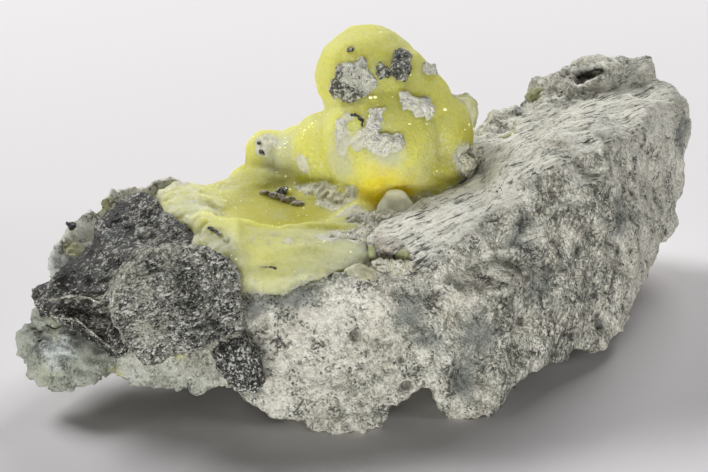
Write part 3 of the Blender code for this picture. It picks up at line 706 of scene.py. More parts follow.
    # Relief too fine for the mesh: grains, scraped lines and fibres.
    height = add(MULTIPLY_ADD, {0: grain, 1: -0.35, 2: mottle})
    height = add(MULTIPLY_ADD, {0: clump, 1: -0.5, 2: height})
    height = add(MULTIPLY_ADD, {0: pepper, 1: -0.4, 2: height})
    height = add(MULTIPLY, {0: height, 1: calm})
    lines = add(MULTIPLY, {0: slips, 1: zone["slip"]})
    height = add(SUBTRACT, {0: height, 1: lines})
    hung = add(MULTIPLY, {0: hangs, 1: zone["fibre"]})
    height = add(SUBTRACT, {0: height, 1: hung})
    bump = add(BUMP, {"Height": height, "Strength": 1.0, "Distance": 0.45 * MM})
    shine = add(MULTIPLY, {0: chance.outputs[2], 1: zone["glitter"]})
    gloss = add(RANGE, {"Value": shine, "From Min": 0.55, "From Max": 0.9, "To Min": 0.8, "To Max": 0.22})
    glow = add(MULTIPLY, {0: zone["pale"], 1: 0.3})
    fill(shader, {
        "Base Color": ground, "Roughness": gloss, "IOR": 1.55, "Normal": bump, "Subsurface Weight": glow,
        "Subsurface Radius": (1.0, 1.0, 0.8), "Subsurface Scale": 0.8 * MM,
    })
    return material


def speckled(name, grain, ground, pepper, salt, rust, shares, roughness, drawn=1.0):
    """Granular rock, broken: dark and pale grains over a ground, with rusty stains.

    The two shares say how much of it the dark and the pale grains cover, and drawn says how many
    times longer than wide they are.
    """
    material, add, shader, where, zone = new_material(name, "pale_rim_and_lit", "stain", "cool", "shade")
    bend = add(NOISE, {"Vector": where, "Scale": per(0.5), "Detail": 2.0})
    bent = add(WARP, {0: bend.outputs["Color"], 1: (0.0005, 0.0005, 0.0005), 2: where})
    broad = add(NOISE, {"Vector": where, "Scale": per(4), "Detail": 5.0, "Roughness": 0.65})
    mottle = add(NOISE, {"Vector": where, "Scale": per(1.1), "Detail": 5.0, "Roughness": 0.75})
    fray = add(NOISE_4D, {"Vector": bent, "W": 2.1, "Scale": per(1.2 * grain), "Detail": 3.0,
                          "Roughness": 0.8})
    leaf_space = add(DRAW_OUT, {"Vector": bent, "Rotation": (0, radians(-18), radians(41)),
                                "Scale": (drawn, 1, 1)})
    grains = add(VORONOI, {"Vector": leaf_space, "Scale": per(grain)})
    leaves = add(NOISE_4D, {"Vector": leaf_space, "W": 5.0, "Scale": per(0.7), "Detail": 3.0,
                            "Roughness": 0.7})
    chance = add(SPLIT, {"Color": grains.outputs["Color"]})
    lean = add(ADD, {0: broad, 1: mottle})
    lean = add(MULTIPLY_ADD, {0: lean, 1: 1.5, 2: -2.2})
    lean = add(MULTIPLY_ADD, {0: leaves, 1: 1.4, 2: lean})
    lean = add(MULTIPLY_ADD, {0: zone["stain"], 1: 0.4, 2: lean})
    lean = add(MULTIPLY_ADD, {0: zone["shade"], 1: 0.6, 2: lean})
    stains = add(MULTIPLY, {0: zone["stain"], 1: broad})
    stains = add(MULTIPLY_CLAMPED, {0: stains, 1: 1.7})
    body = add(MIX, {0: stains, 6: ground, 7: rust})
    odds = add(ADD, {0: chance.outputs[0], 1: lean})
    odds = add(MULTIPLY_ADD, {0: fray, 1: 1.6, 2: odds})
    dark = add(RANGE, {"Value": odds, "From Min": 1.65 - shares[0], "From Max": 1.95 - shares[0]})
    body = add(MIX, {0: dark, 6: body, 7: pepper})
    odds = add(SUBTRACT, {0: chance.outputs[1], 1: lean})
    odds = add(MULTIPLY_ADD, {0: fray, 1: -1.6, 2: odds})
    light = add(RANGE, {"Value": odds, "From Min": 0.12 - shares[1], "From Max": 0.3 - shares[1]})
    body = add(MIX, {0: light, 6: body, 7: salt})
    cool = add(MULTIPLY, {0: zone["cool"], 1: 0.5})
    body = add(MIX, {0: cool, 6: body, 7: "4E5A62"})
    # Pale rims and patches, partly painted light.
    pale = add(RANGE, {"Value": odds, "From Min": -0.7, "From Max": -0.3})
    pale = add(MULTIPLY, {0: pale, 1: zone["pale_rim_and_lit"]})
    body = add(MIX, {0: pale, 6: body, 7: "C6C4B2"})
    height = add(MULTIPLY_ADD, {0: grains, 1: -0.8, 2: mottle})
    height = add(MULTIPLY_ADD, {0: light, 1: 0.3, 2: height})
    bump = add(BUMP, {"Height": height, "Strength": 1.0, "Distance": 0.45 * MM})
    gloss = add(RANGE, {"Value": chance.outputs[2], "From Min": 0.8, "From Max": 0.95, "To Min": roughness,
                        "To Max": 0.25})
    fill(shader, {"Base Color": body, "Roughness": gloss, "IOR": 1.6, "Normal": bump})
    return material


def waxy_brucite(settings):
    """Brucite grown in round lobes: waxy and translucent, so it glows and deepens where thick."""
    material, add, shader, where, zone = new_material(
        "brucite_botryoidal_waxy", "deep", "olive", "cream", "frost", "veins", "dust",
    )
    broad = add(NOISE, {"Vector": where, "Scale": per(6), "Detail": 3.0, "Roughness": 0.5})
    mottle = add(NOISE, {"Vector": where, "Scale": per(1.4), "Detail": 5.0, "Roughness": 0.7})
    fine = add(NOISE, {"Vector": where, "Scale": per(0.5), "Detail": 4.0, "Roughness": 0.75})
    body = add(MIX, {0: zone["cream"], 6: settings.lemon, 7: settings.cream})
    body = add(MIX, {0: zone["olive"], 6: body, 7: settings.olive})
    body = add(MIX, {0: zone["deep"], 6: body, 7: settings.deep})
    cloud = add(RANGE, {"Value": broad, "From Min": 0.48, "From Max": 0.75, "To Max": 0.4})
    body = add(MIX, {0: cloud, 6: body, 7: settings.cream})
    vein = add(MULTIPLY, {0: zone["veins"], 1: 0.5})
    body = add(MIX, {0: vein, 6: body, 7: settings.frost})
    # Sugary grains, drawn as coarse as they need to be to show.
    sugar = add(VORONOI, {"Vector": where, "Scale": per(0.42)})
    chance = add(SPLIT, {"Color": sugar.outputs["Color"]})
    sunk = add(MULTIPLY_ADD, {0: mottle, 1: 1.5, 2: chance.outputs[0]})
    sunk = add(RANGE, {"Value": sunk, "From Min": 1.1, "From Max": 1.9, "To Max": 0.22})
    body = add(MIX, {0: sunk, 6: body, 7: "A8A43C"})
    # Pale grains painted as lit sparkle, most of them where dust lies.
    lit = add(MULTIPLY_ADD, {0: fine, 1: 1.0, 2: chance.outputs[1]})
    lit = add(RANGE, {"Value": lit, "From Min": 1.2, "From Max": 1.6})
    dusty = add(MULTIPLY_ADD, {0: zone["dust"], 1: 0.55, 2: 0.08})
    lit = add(MULTIPLY, {0: lit, 1: dusty})
    body = add(MIX, {0: lit, 6: body, 7: settings.frost})
    # White crust, with grey grains in it.
    edge = add(MULTIPLY_ADD, {0: mottle, 1: 1.2, 2: zone["frost"]})
    edge = add(MULTIPLY_ADD, {0: fine, 1: 0.8, 2: edge})
    crust = add(RANGE, {"Value": edge, "From Min": 1.35, "From Max": 1.6, "To Max": 0.95})
    speck = add(RANGE, {"Value": fine, "From Min": 0.6, "From Max": 0.68, "To Max": 0.8})
    white = add(MIX, {0: speck, 6: settings.frost, 7: "98978A"})
    body = add(MIX, {0: crust, 6: body, 7: white})
    wet = add(RANGE, {"Value": mottle, "From Min": 0.4, "From Max": 0.65, "To Min": 0.62, "To Max": 0.5})
    rough = add(MIX_NUMBERS, {0: crust, 2: wet, 3: 0.8})
    height = add(MULTIPLY_ADD, {0: crust, 1: 2.0, 2: 0.5})
    height = add(MULTIPLY, {0: height, 1: fine})
    height = add(ADD, {0: height, 1: mottle})
    height = add(MULTIPLY_ADD, {0: sugar, 1: -0.15, 2: height})
    bump = add(BUMP, {"Height": height, "Strength": 0.8, "Distance": 0.3 * MM})
    depth = add(MULTIPLY_ADD, {0: crust, 1: -0.9, 2: 0.9})
    fill(shader, {
        "Base Color": body, "Roughness": rough, "IOR": 1.57, "Normal": bump, "Subsurface Weight": depth,
        "Subsurface Radius": (1.0, 0.92, 0.3), "Subsurface Scale": settings.glow,
    })
    return material


def soft_brucite(name, shade, roughness, glow):
    """Clean brucite without crust: smooth, faintly clouded and waxy."""
    material, add, shader, where, _ = new_material(name)
    cloud = add(NOISE, {"Vector": where, "Scale": per(1.8), "Detail": 4.0})
    share = add(RANGE, {"Value": cloud, "From Min": 0.4, "From Max": 0.7, "To Max": 0.5})
    body = add(MIX, {0: share, 6: shade, 7: "DADBC8"})
    bump = add(BUMP, {"Height": cloud, "Strength": 0.2, "Distance": 0.2 * MM})
    fill(shader, {
        "Base Color": body, "Roughness": roughness, "IOR": 1.57, "Normal": bump, "Subsurface Weight": 0.8,
        "Subsurface Radius": (1.0, 1.0, 0.7), "Subsurface Scale": glow * MM,
    })
    return material


def clear_brucite():
    """A cleavage sliver of brucite, nearly clear: light passes through and picks up yellow."""
    material, add, shader, where, _ = new_material("brucite_clear_cleaved")
    flaw = add(NOISE, {"Vector": where, "Scale": per(1.2), "Detail": 4.0})
    bump = add(BUMP, {"Height": flaw, "Strength": 0.3, "Distance": 0.2 * MM})
    fill(shader, {
        "Base Color": "EDEDC8", "Roughness": 0.18, "IOR": 1.57, "Transmission Weight": 0.65,
        "Normal": bump,
    })
    return material


def metallic_grain():
    """A grain of magnetite, broken: a dark mirror with a rough edge."""
    material, add, shader, where, _ = new_material("magnetite_grain")
    facets = add(VORONOI, {"Vector": where, "Scale": per(0.5)})
    tone = add(RANGE, {"Value": facets, "To Min": 0.12, "To Max": 0.5})
    bump = add(BUMP, {"Height": facets, "Strength": 0.6, "Distance": 0.2 * MM})
    fill(shader, {"Base Color": "9C9C9A", "Metallic": 0.9, "Roughness": tone, "Normal": bump})
    return material


def glint_material():
    """Tiny pale balls on the crust that glow a little: painted glints."""
    material, add, shader, where, _ = new_material("brucite_glints")
    cloud = add(NOISE, {"Vector": where, "Scale": per(0.6), "Detail": 2.0})
    body = add(MIX, {0: cloud, 6: "FFFEE0", 7: "E2E2A0"})
    fill(shader, {
        # The emission makes them glow: painted glints, not lit ones.
        "Base Color": body, "Roughness": 0.15, "IOR": 1.57, "Emission Color": body,
        "Emission Strength": 0.5,
    })
    return material


# Pieces.


class BRUCITE_OT_rock(bpy.types.Operator):
    """Make the pale rock with its slickenside, chips and pits"""

    bl_idname = "brucite.rock"
    bl_label = "Matrix rock"

    def execute(self, context):
        settings = context.scene.brucite_rock
        rock = skin_of("matrix_rock", "rock_skin", settings.voxel, passes=7)
        points, normals = read_skin(rock)
        wander = points + 2.2 * np.stack([fractal(points, 5, seed, 3) for seed in (3, 4, 5)], 1)
        across = -0.58 * wander[:, 0] + 0.81 * wander[:, 1]
        up = normals[:, 2]
        # Where the rock's kinds of surface lie: pale crystals at the left and on the ledges, the scraped
        # slickenside, the crag behind it, and the fibres that hang from it.
        left = smooth(-37, -43, wander[:, 0]) * smooth(-6, -14, wander[:, 1])
        ledge = smooth(-18, -26, wander[:, 0]) * smooth(15, 11, wander[:, 2])
        back_ledge = smooth(-28, -33, wander[:, 0]) * smooth(20, 23, wander[:, 2])
        right = smooth(1, 6, wander[:, 0])
        slip = smooth(0.42, 0.68, up) * right * smooth(3.5, 0.0, across)
        slip *= smooth(23, 26.5, points[:, 2])
        crag = right * smooth(0.0, 4.0, across) * smooth(22, 27, wander[:, 2])
        fibre = smooth(0.55, 0.25, up) * smooth(14, 26, wander[:, 0]) * (1 - crag)
        veil = fibre * smooth(42, 50, wander[:, 0])
        # The crag's slot, painted dark as shade.
        slot = near(points * SLOT_STRETCH, SLOT_SHADE_SPOTS)

        # What roughens it: broken chips, pits, grooves and folds.
        billow = 0.35 - np.abs(fractal(points, 6.5, 12, 3))
        chips = fractal(points, 2.8, 6, 4)
        chance, first, second = cells(wander, 2.6, 7)
        steps = (chance - 0.5) * smooth(0.0, 0.12, second - first)
        pit_chance, pit_first, _ = cells(points, 4.4, 8)
        pits = smooth(0.62, 0.64, pit_chance) * smooth(0.32, 0.1, pit_first)
        grooves = fractal(stretched(points, SLIP, 9), 1.3, 9)
        folds = fractal(stretched(points, HANG, 5), 3.4, 10, 3)
        fibres = fractal(stretched(points, HANG, 9), 1.1, 16, 3)
        grit = fractal(points, 1.3, 11, 3)
        calm = (1 - 0.8 * slip) * (1 - 0.55 * fibre) * (1 - 0.4 * back_ledge)
        heights = (settings.chips / MM) * (0.75 * chips + 0.6 * steps + 0.8 * billow) * calm
        _, first, second = cells(wander, 4.4, 17)
        heights += left * (0.9 * smooth(0, 0.25, second - first) - 0.6 * first)
        heights += (settings.grooves / MM) * grooves * slip + 0.4 * grit * calm
        heights += (0.7 * folds + 0.6 * fibres) * fibre * (1 - 0.4 * veil)
        heights -= 1.0 * pits * (0.4 + 0.6 * calm)
        heights += 1.0 * smooth(-48, -54, points[:, 0])
        write_skin(rock, points + normals * heights[:, None])

        paint(rock, "slip", slip * (1 - near(points, UNPOLISHED_SPOTS)))
        # Fibres are painted darker at the nose, and darker in the troughs of the folds as painted shade.
        shady = smooth(0.3, -0.2, folds) * smooth(-0.5, 0.35, fractal(points, 11, 13))
        nose = smooth(19, 25, points[:, 0]) * smooth(48, 40, points[:, 0])
        paint(rock, "fibre", fibre * (0.25 + 0.45 * nose + 0.3 * shady) * (1 - 0.6 * veil))
        paint(rock, "blue", near(wander, BLUE_SPOTS) * (1 - slip))
        # Paler rock in spots, on the veil and the crag, and painted light on the back ledge, which the lamps
        # hardly reach.
        paint(rock, "paler_and_lit", np.maximum.reduce([near(wander, BRIGHT_SPOTS), 0.6 * veil, back_ledge, crag]))
        # Dark spots, some of them painted shade under the plates' lip, darker strips in the crag, and the
        # slot painted dark as shade.
        dark_and_shade = near(wander, DARK_AND_SHADE_SPOTS) * np.maximum(0.85 * smooth(-0.3, 0.3, grit), 0.9 * left)
        dark_and_shade = np.maximum(dark_and_shade, 0.3 * crag * smooth(0.1, 0.5, fractal(points, 2.4, 14)))
        paint(rock, "dark_and_shade", np.maximum(dark_and_shade, slot))
        paint(rock, "warm", near(wander, WARM_SPOTS))
        paint(rock, "pale", np.maximum.reduce([left, 0.6 * ledge, 0.1 * back_ledge]))
        # Icy pale patches: a painted highlight on the left lump and painted light on the back ledge.
        paint(rock, "ice_and_highlight", near(wander, ICE_AND_HIGHLIGHT_SPOTS))
        yellow = np.maximum(back_ledge, 0.6 * left) * smooth(0.1, 0.6, fractal(points, 5, 15))
        paint(rock, "window", np.maximum(near(points, WINDOW_SPOTS), yellow * 0.35))
        # Heights, which the material turns into painted shade in the hollows.
        paint(rock, "relief", 0.5 + 0.4 * heights)
        paint(rock, "glitter", 0.35 + 0.65 * np.maximum.reduce([left, crag, ledge]))
        dress(rock, serpentinite(settings), "matrix_rock", "matrix_rock")
        return {"FINISHED"}


class BRUCITE_OT_plates(bpy.types.Operator):
    """Make the plates of dark wall rock and the pale lips along them"""

    bl_idname = "brucite.plates"
    bl_label = "Dark plates"

    def execute(self, context):
        settings = context.scene.brucite_plates
        dark = speckled("wall_rock_dark_foliated", 0.2, "46433B", settings.black,
                        "E0DFD4", settings.brown, (0.62, 0.22), 0.5, 3.0)
        grey = speckled("wall_rock_salt_and_pepper", 0.28, settings.grey, "2C2D29",
                        settings.white, "6E7068", (0.36, 0.32), 0.6, 1.6)
        mica = speckled("wall_rock_micaceous", 0.3, "5C5C54", settings.black,
                        "E0E0D8", settings.brown, (0.5, 0.3), 0.4)
        for node, name, material, slot in (
            ("dark_plate_upper", "plate_upper_skin", dark, "dark_rock"),
            ("dark_plate_under", "plate_under_skin", dark, "dark_rock"),
            ("dark_plate_front", "plate_front_skin", grey, "grey_rock"),
            ("dark_plate_lower", "plate_lower_skin", mica, "dark_rock"),
        ):
            plate = skin_of(node, name, settings.voxel, passes=5)
            points, normals = read_skin(plate)
            edge = smooth(0.75, 0.45, np.abs(normals @ self.facing(normals)))
            leaves = fractal(stretched(points, FOLIATION, 4), 1.9, 21)
            chance, first, second = cells(points, 1.3, 22)
            heights = 0.6 * leaves + 0.4 * (chance - 0.5) * smooth(0, 0.15, second - first)
            heights += 0.45 * fractal(points, 0.9, 23, 3)
            heights += 1.8 * (0.35 - np.abs(fractal(points, 7.0, 26, 3)))
            heights += edge * 0.8 * fractal(points, 1.4, 27, 3)
            crack = np.zeros(len(points))
            if node == "dark_plate_lower":
                crack = near(points, CRACK)
            elif node == "dark_plate_front":
                heights += 2.0 * near(points, SWELL_SPOTS) - 2.2 * near(points, DENT_SPOTS)
            heights = heights * settings.relief / MM - 0.8 * crack
            write_skin(plate, points + normals * heights[:, None])
            lips = [(spot, 1.3) for path, _ in LIPS for spot in path]
            # Pale rims and lips, and pale painted light in the shaded slit below the upper plate.
            pale = np.maximum(near(points, PLATE_PALE_AND_LIT_SPOTS), 0.8 * near(points, lips))
            pale *= smooth(-0.5, 0.3, fractal(points, 1.5, 24))
            if node == "dark_plate_front":
                pale = np.maximum(pale, 0.8 * edge * smooth(-0.2, 0.3, fractal(points, 2, 28)))
            paint(plate, "pale_rim_and_lit", pale)
            paint(plate, "stain", near(points, RUST_SPOTS))
            paint(plate, "cool", near(points, COOL_SPOTS))
            # Painted shade in the front plate's hollow and the slit below the upper plate, darker rock
            # elsewhere, and the dark crack.
            paint(plate, "shade", np.maximum(0.3 * near(points, SHADE_SPOTS), crack))
            dress(plate, material, slot, node)
        pale = speckled("wall_rock_pale_rind", 0.5, "C9C7B6", "77766A", "E4E2D4", "A9A48E", (0.3, 0.4), 0.8)
        self.make_ridges("plate_lips", LIPS, pale, "crumb_white")
        grit = speckled("wall_rock_crushed_pale", 0.34, "F0ECCF", "6C6A5A",
                        "FAF8EA", "C9C49E", (0.0, 0.45), 0.8)
        self.make_grit(grit)
        self.make_ridges("dark_slivers", TWIGS, dark, "dark_rock")
        return {"FINISHED"}

    def facing(self, normals):
        """The direction that most of the plate's skin faces, either way."""
        _, axes = np.linalg.eigh(normals.T @ normals)
        return axes[:, -1]

    def make_grit(self, material):
        """Adds the gritty rock that lies in the corner between the bead and the basin."""
        grit = fused("corner_grit", GRIT_LUMPS, GRIT_VOXEL, passes=2)
        points, normals = read_skin(grit)
        heights = 0.5 * fractal(points, 1.0, 29, 4) + 0.5 * (cells(points, 0.8, 30)[0] - 0.5)
        write_skin(grit, points + normals * heights[:, None])
        dress(grit, material, "crumb_white")

    def make_ridges(self, name, ridges, material, slot):
        """Adds one piece of ragged ridges, such as the lips or the slivers."""
        bm = bmesh.new()
        for path, thick in ridges:
            add_ridge(bm, path, thick)
        piece = rebuilt(mesh_object(name, bm), RIDGE_VOXEL * MM, passes=1)
        points, normals = read_skin(piece)
        write_skin(piece, points + normals * 0.22 * fractal(points, 0.9, 25, 3)[:, None])
        dress(piece, material, slot)


class BRUCITE_OT_crust(bpy.types.Operator):
    """Make the waxy yellow crust with its lobes, basin and frost"""

    bl_idname = "brucite.crust"
    bl_label = "Brucite crust"

    def execute(self, context):
        settings = context.scene.brucite_crust
        bm = bmesh.new()
        bm.from_mesh(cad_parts["brucite_crust"].data)
        for centre, radius in LOBES:
            add_ball(bm, centre, (radius, radius, radius), subdivisions=5)
        crust = rebuilt(mesh_object("brucite_skin", bm), settings.voxel, passes=34)
        points, normals = read_skin(crust)
        wander = points + 1.2 * np.stack([fractal(points, 4, seed, 3) for seed in (31, 32, 33)], 1)
        frost = near(wander, FROST_SPOTS)
        shell = faces_of(bpy.data.objects["rock_skin"])
        places = ((points + HOLLOW) * MM).tolist()
        gaps = np.array([shell.find_nearest(place)[3] for place in places]) / MM
        seam = smooth(2.6, 0.2, gaps + 1.0 * fractal(points, 2.0, 42, 3))
        _, bubble, _ = cells(points, 2.4, 35)
        heights = 0.25 * (0.5 - bubble) + 0.3 * fractal(points, 5.0, 36, 2)
        rough = np.maximum(frost, seam)
        heights += 0.15 + rough * (0.15 + 0.55 * fractal(points, 0.95, 37, 3))
        # The apron at the left is built of stout crystals with seams between them.
        apron = smooth(-19, -26, points[:, 0])
        veins = np.maximum(1 - np.abs(fractal(wander, 6.0, 38, 3)) * 5, 0)
        chunk, first, second = cells(wander, 3.2, 43)
        heights += apron * (0.8 * (chunk - 0.5) * smooth(0, 0.2, second - first) - 0.3 * veins)
        points += normals * heights[:, None]
        points = dished(points)
        # The wall in front of the basin sinks to one straight brim.
        wall = smooth(-20, -17, points[:, 0]) * smooth(4, 1, points[:, 0])
        wall *= smooth(-12, -14, points[:, 1])
        points[:, 2] -= 0.34 * wall * np.maximum(points[:, 2] - WALL_FOOT, 0)
        brim = BRIM + 0.2 * fractal(points, 2.0, 34)
        points[:, 2] -= wall * np.maximum(points[:, 2] - brim, 0)
        write_skin(crust, points)
        edge = wall * smooth(0.9, 0.2, np.abs(points[:, 2] - BRIM))
        low_wall = smooth(-10, -17, points[:, 1])
        thin = smooth(7.5, 2.0, gaps)
        dust = near(wander, DUST_SPOTS)
        paint(crust, "dust", dust)
        paint(crust, "frost", np.maximum.reduce([frost, 0.24 * dust, 0.35 * edge, 0.45 * seam]))
        paint(crust, "deep", near(wander, DEEP_SPOTS))
        paint(crust, "olive", near(wander, OLIVE_SPOTS))
        pale_wall = low_wall * (0.2 + 0.7 * smooth(-18, 0, points[:, 0]))
        thin *= 0.8 * (1 - near(points * FLAT, BOWL_SPOTS))
        paint(crust, "cream", np.maximum.reduce([near(wander, PALE_SPOTS), pale_wall, thin]))
        paint(crust, "veins", np.maximum(veins, smooth(0.1, 0.0, second - first)) * apron)
        dress(crust, waxy_brucite(settings), "brucite", "brucite_crust")

        # The bead is wider at its foot than at its top, and sits down into the corner.
        bead = skin_of("white_bead", "white_bead_skin", BEAD_VOXEL * MM, passes=40)
        points, normals = read_skin(bead)
        middle = points.mean(0)
        slim = 1.1 - 0.3 * smooth(points[:, 2].min(), points[:, 2].max(), points[:, 2])
        points[:, :2] = middle[:2] + slim[:, None] * (points[:, :2] - middle[:2])
        points -= BEAD_LOWER
        write_skin(bead, points + normals * 0.3 * fractal(points, 3.4, 39, 3)[:, None])
        white = soft_brucite("brucite_white_waxy", "F0EDD8", 0.75, 3.0)
        dress(bead, white, "white_brucite", "white_bead")

        # The shard is stepped along its cleavage.
        shard = skin_of("pale_shard", "pale_shard_skin", SHARD_VOXEL * MM, passes=3)
        points, normals = read_skin(shard)
        steps = cells(stretched(points, (0, 0, 1), 3), 1.6, 40)[0] - 0.5
        write_skin(shard, points + normals * (0.25 * steps)[:, None])
        dress(shard, clear_brucite(), "clear_brucite", "pale_shard")

        self.make_lumps("green_lumps", GREEN_LUMPS, "8F9260")
        self.make_lumps("pale_lumps", PALE_LUMPS, "A8A585")
        self.make_glints(crust, settings.glints)
        return {"FINISHED"}

    def make_lumps(self, name, lumps, shade):
        """Adds one piece of soft lumps of brucite in that colour."""
        piece = fused(name, lumps, LUMP_VOXEL, passes=3)
        points, normals = read_skin(piece)
        write_skin(piece, points + normals * 0.3 * fractal(points, 1.3, 41, 3)[:, None])
        dress(piece, soft_brucite("brucite_" + name, shade, 0.6, 1.2), "brucite")

    def make_glints(self, crust, count):
        """Scatters painted glints, tiny glowing balls, over the crust, most of them along the basin's rim.
        """
        points, normals = read_skin(crust)
        middle, radii = BASIN_RIM
        gap = np.abs(np.linalg.norm((points - middle) / radii, axis=1) - 1)
        liking = 0.1 + smooth(0.3, 0.05, gap) * smooth(0.2, 0.6, normals[:, 2])
        liking += 0.7 * near(points, GLINT_SPOTS)
        liking *= smooth(0.1, 0.4, normals[:, 2])
        chooser = np.random.default_rng(7)
        chosen = chooser.choice(len(points), count, replace=False, p=liking / liking.sum())
        bm = bmesh.new()
        for i in chosen:
            size = 0.04 + 0.14 * chooser.random() ** 3
            turn = chooser.uniform(0, 360, 3)
            add_ball(bm, points[i], (size, size, size * 1.6), turn, subdivisions=1)
        for spot in SPARKLES:
            nearest = np.linalg.norm(points - spot, axis=1).argmin()
            add_ball(bm, points[nearest] + 0.1 * normals[nearest], (0.34, 0.26, 0.24), subdivisions=2)
        dress(mesh_object("brucite_glints", bm), glint_material(), "brucite")


class BRUCITE_OT_crumbs(bpy.types.Operator):
    """Make the crumbs, splinters and grains that are stuck on the specimen"""

    bl_idname = "brucite.crumbs"
    bl_label = "Crumbs"

    def execute(self, context):
        settings = context.scene.brucite_crumbs
        dark = speckled("rock_crumb_dark", 0.4, "7C7C72", "34342F", "D0D0C4", "55564F", (0.45, 0.25), 0.6)
        mixed = speckled("rock_crumb_grey", 0.4, "D2D1C0", "55554C", "EAEADC", "8E8E80", (0.08, 0.42), 0.75)
        grit = speckled("rock_grit_pale", 0.34, "F0ECCF", "6C6A5A", "FAF8EA", "8E8E80", (0.0, 0.45), 0.75)
        pale = speckled("rock_crumb_chalky", 0.4, "F0EEDA", "BEBCA6",
                        "FAF9F0", "C8C8A8", (-0.1, 0.45), 0.85)
        black = speckled("magnetite_crystal", 0.5, "24231F", "0E0E0D",
                         "6A665E", "3A2E22", (0.5, 0.12), 0.35)
        fibrous = speckled("rock_splinter_fibrous", 0.4, "BBAFA4", "5A544E",
                            "DDD6CA", "8E8E80", (0.36, 0.4), 0.6)
        ground = faces_of(bpy.data.objects["brucite_skin"])
        for node, material, slot in (
            ("crumb_large", mixed, "crumb_rock"),
            ("crumb_dark_mid", dark, "crumb_rock"),
            ("crumb_dark_right", dark, "crumb_rock"),
            ("crumb_edge", mixed, "crumb_rock"),
            ("crumb_strip", grit, "crumb_rock"),
            ("rock_splinter", fibrous, "crumb_rock"),
            ("crumb_pale", pale, "crumb_white"),
            ("crumb_white", pale, "crumb_white"),
            ("crumb_speckled", pale, "crumb_white"),
            ("black_grain", black, "dark_rock"),
            ("metal_grain", metallic_grain(), "metallic_mineral"),
        ):
            splinter = node == "rock_splinter"
            voxel = SPLINTER_VOXEL * MM if splinter else settings.voxel
            crumb = skin_of(node, node + "_skin", voxel, passes=3)
            points, normals = read_skin(crumb)
            heights = 0.8 * (cells(points, 0.9, 51)[0] - 0.5) + fractal(points, 1.2, 52, 4)
            heights += 5.0 * (0.25 - np.abs(fractal(points, 2.6, 53, 2)))
            if node in PALE_CRUMBS:
                heights = 0.6 * heights + 1.6 * fractal(points, 1.6, 54, 3) - 0.6
            heights *= settings.relief / MM
            if splinter:
                heights = 0.1 * heights
            moved = points + normals * heights[:, None]
            if node in LAID_CRUMBS:
                moved = laid(moved - LAID_FORWARD, ground, LAID_CRUMBS[node])
            elif node == "crumb_strip":
                moved -= STRIP_LOWER
            write_skin(crumb, moved)
            paint(crumb, "shade", 2.0 * near(points, CRUMB_SHADE_SPOTS))
            dress(crumb, material, slot, node)
        return {"FINISHED"}


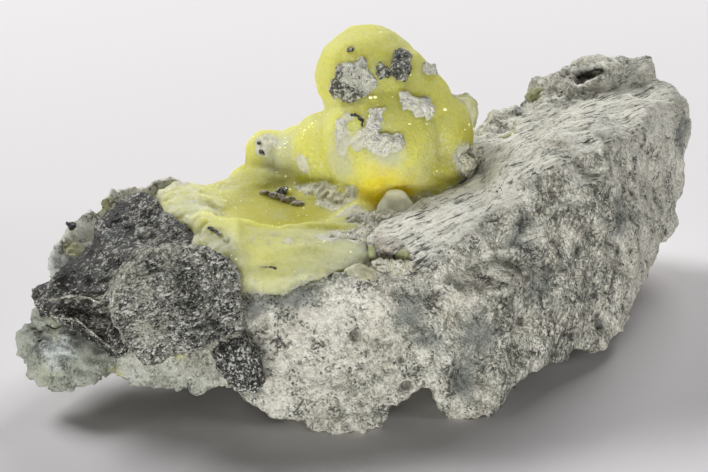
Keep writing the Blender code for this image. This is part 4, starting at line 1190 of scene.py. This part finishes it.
class BRUCITE_OT_stage(bpy.types.Operator):
    """Make the floor, the lights and the camera"""

    bl_idname = "brucite.stage"
    bl_label = "Stage"

    def execute(self, context):
        scene = context.scene
        settings = scene.brucite_stage
        camera = bpy.data.cameras.new("camera")
        camera.lens = settings.lens
        camera.sensor_width = 36
        camera.clip_start = 0.01
        viewer = bpy.data.objects.new("camera", camera)
        scene.collection.objects.link(viewer)
        turn = Euler((radians(90) - settings.elevation, 0, 0))
        viewer.rotation_euler = turn
        viewer.location = Vector(MIDDLE) * MM + turn.to_matrix() @ Vector((0, 0, settings.distance))
        scene.camera = viewer

        for light in LIGHTS:
            self.light(*light)
        world = bpy.data.worlds.new("studio")
        world.use_nodes = True
        fill(world.node_tree.nodes["Background"], {"Color": (1, 1, 1), "Strength": 0.01})
        scene.world = world
        scene.view_settings.view_transform = "Standard"

        bm = bmesh.new()
        bmesh.ops.create_grid(bm, x_segments=8, y_segments=8, size=3.0)
        floor = mesh_object("floor", bm)
        material, add, shader, where, _ = new_material("floor_matt_paper")
        tooth = add(NOISE, {"Vector": where, "Scale": per(3), "Detail": 3.0})
        bump = add(BUMP, {"Height": tooth, "Strength": 0.03, "Distance": 0.1 * MM})
        fill(shader, {"Base Color": settings.floor, "Roughness": 0.9, "Normal": bump})
        floor.data.materials.append(material)
        return {"FINISHED"}

    def light(self, name, place, size, watts, target, spread):
        """Adds one area light, so wide and so high, that faces the target."""
        lamp = bpy.data.lights.new(name, "AREA")
        lamp.shape = "RECTANGLE"
        lamp.size, lamp.size_y = size
        lamp.energy = watts
        lamp.spread = radians(spread)
        holder = bpy.data.objects.new(name, lamp)
        bpy.context.scene.collection.objects.link(holder)
        holder.location = place
        away = Vector(place) - Vector(target) * MM
        holder.rotation_euler = away.to_track_quat("Z", "Y").to_euler()


class BRUCITE_PT_panel(bpy.types.Panel):
    """Lists the specimen's pieces and their settings"""

    bl_idname = "BRUCITE_PT_panel"
    bl_label = "Brucite on matrix"
    bl_space_type = "VIEW_3D"
    bl_region_type = "UI"
    bl_category = "Brucite"

    def draw(self, context):
        for group, operator in PIECES:
            box = self.layout.box()
            settings = getattr(context.scene, group)
            for name in settings.bl_rna.properties.keys():
                if name not in ("rna_type", "name"):
                    box.prop(settings, name)
            box.operator(operator.bl_idname)


GROUPS = {
    "brucite_rock": RockSettings,
    "brucite_plates": PlateSettings,
    "brucite_crust": BruciteSettings,
    "brucite_crumbs": CrumbSettings,
    "brucite_stage": StageSettings,
}
PIECES = (
    ("brucite_rock", BRUCITE_OT_rock),
    ("brucite_plates", BRUCITE_OT_plates),
    ("brucite_crust", BRUCITE_OT_crust),
    ("brucite_crumbs", BRUCITE_OT_crumbs),
    ("brucite_stage", BRUCITE_OT_stage),
)


def register():
    for group in GROUPS.values():
        bpy.utils.register_class(group)
    for _, operator in PIECES:
        bpy.utils.register_class(operator)
    bpy.utils.register_class(BRUCITE_PT_panel)
    for name, group in GROUPS.items():
        setattr(bpy.types.Scene, name, PointerProperty(type=group))


def unregister():
    for name in GROUPS:
        delattr(bpy.types.Scene, name)
    bpy.utils.unregister_class(BRUCITE_PT_panel)
    for _, operator in reversed(PIECES):
        bpy.utils.unregister_class(operator)
    for group in reversed(GROUPS.values()):
        bpy.utils.unregister_class(group)


def main():
    register()
    bpy.ops.brucite.rock()
    bpy.ops.brucite.plates()
    bpy.ops.brucite.crust()
    bpy.ops.brucite.crumbs()
    bpy.ops.brucite.stage()


if __name__ == "__main__":
    main()
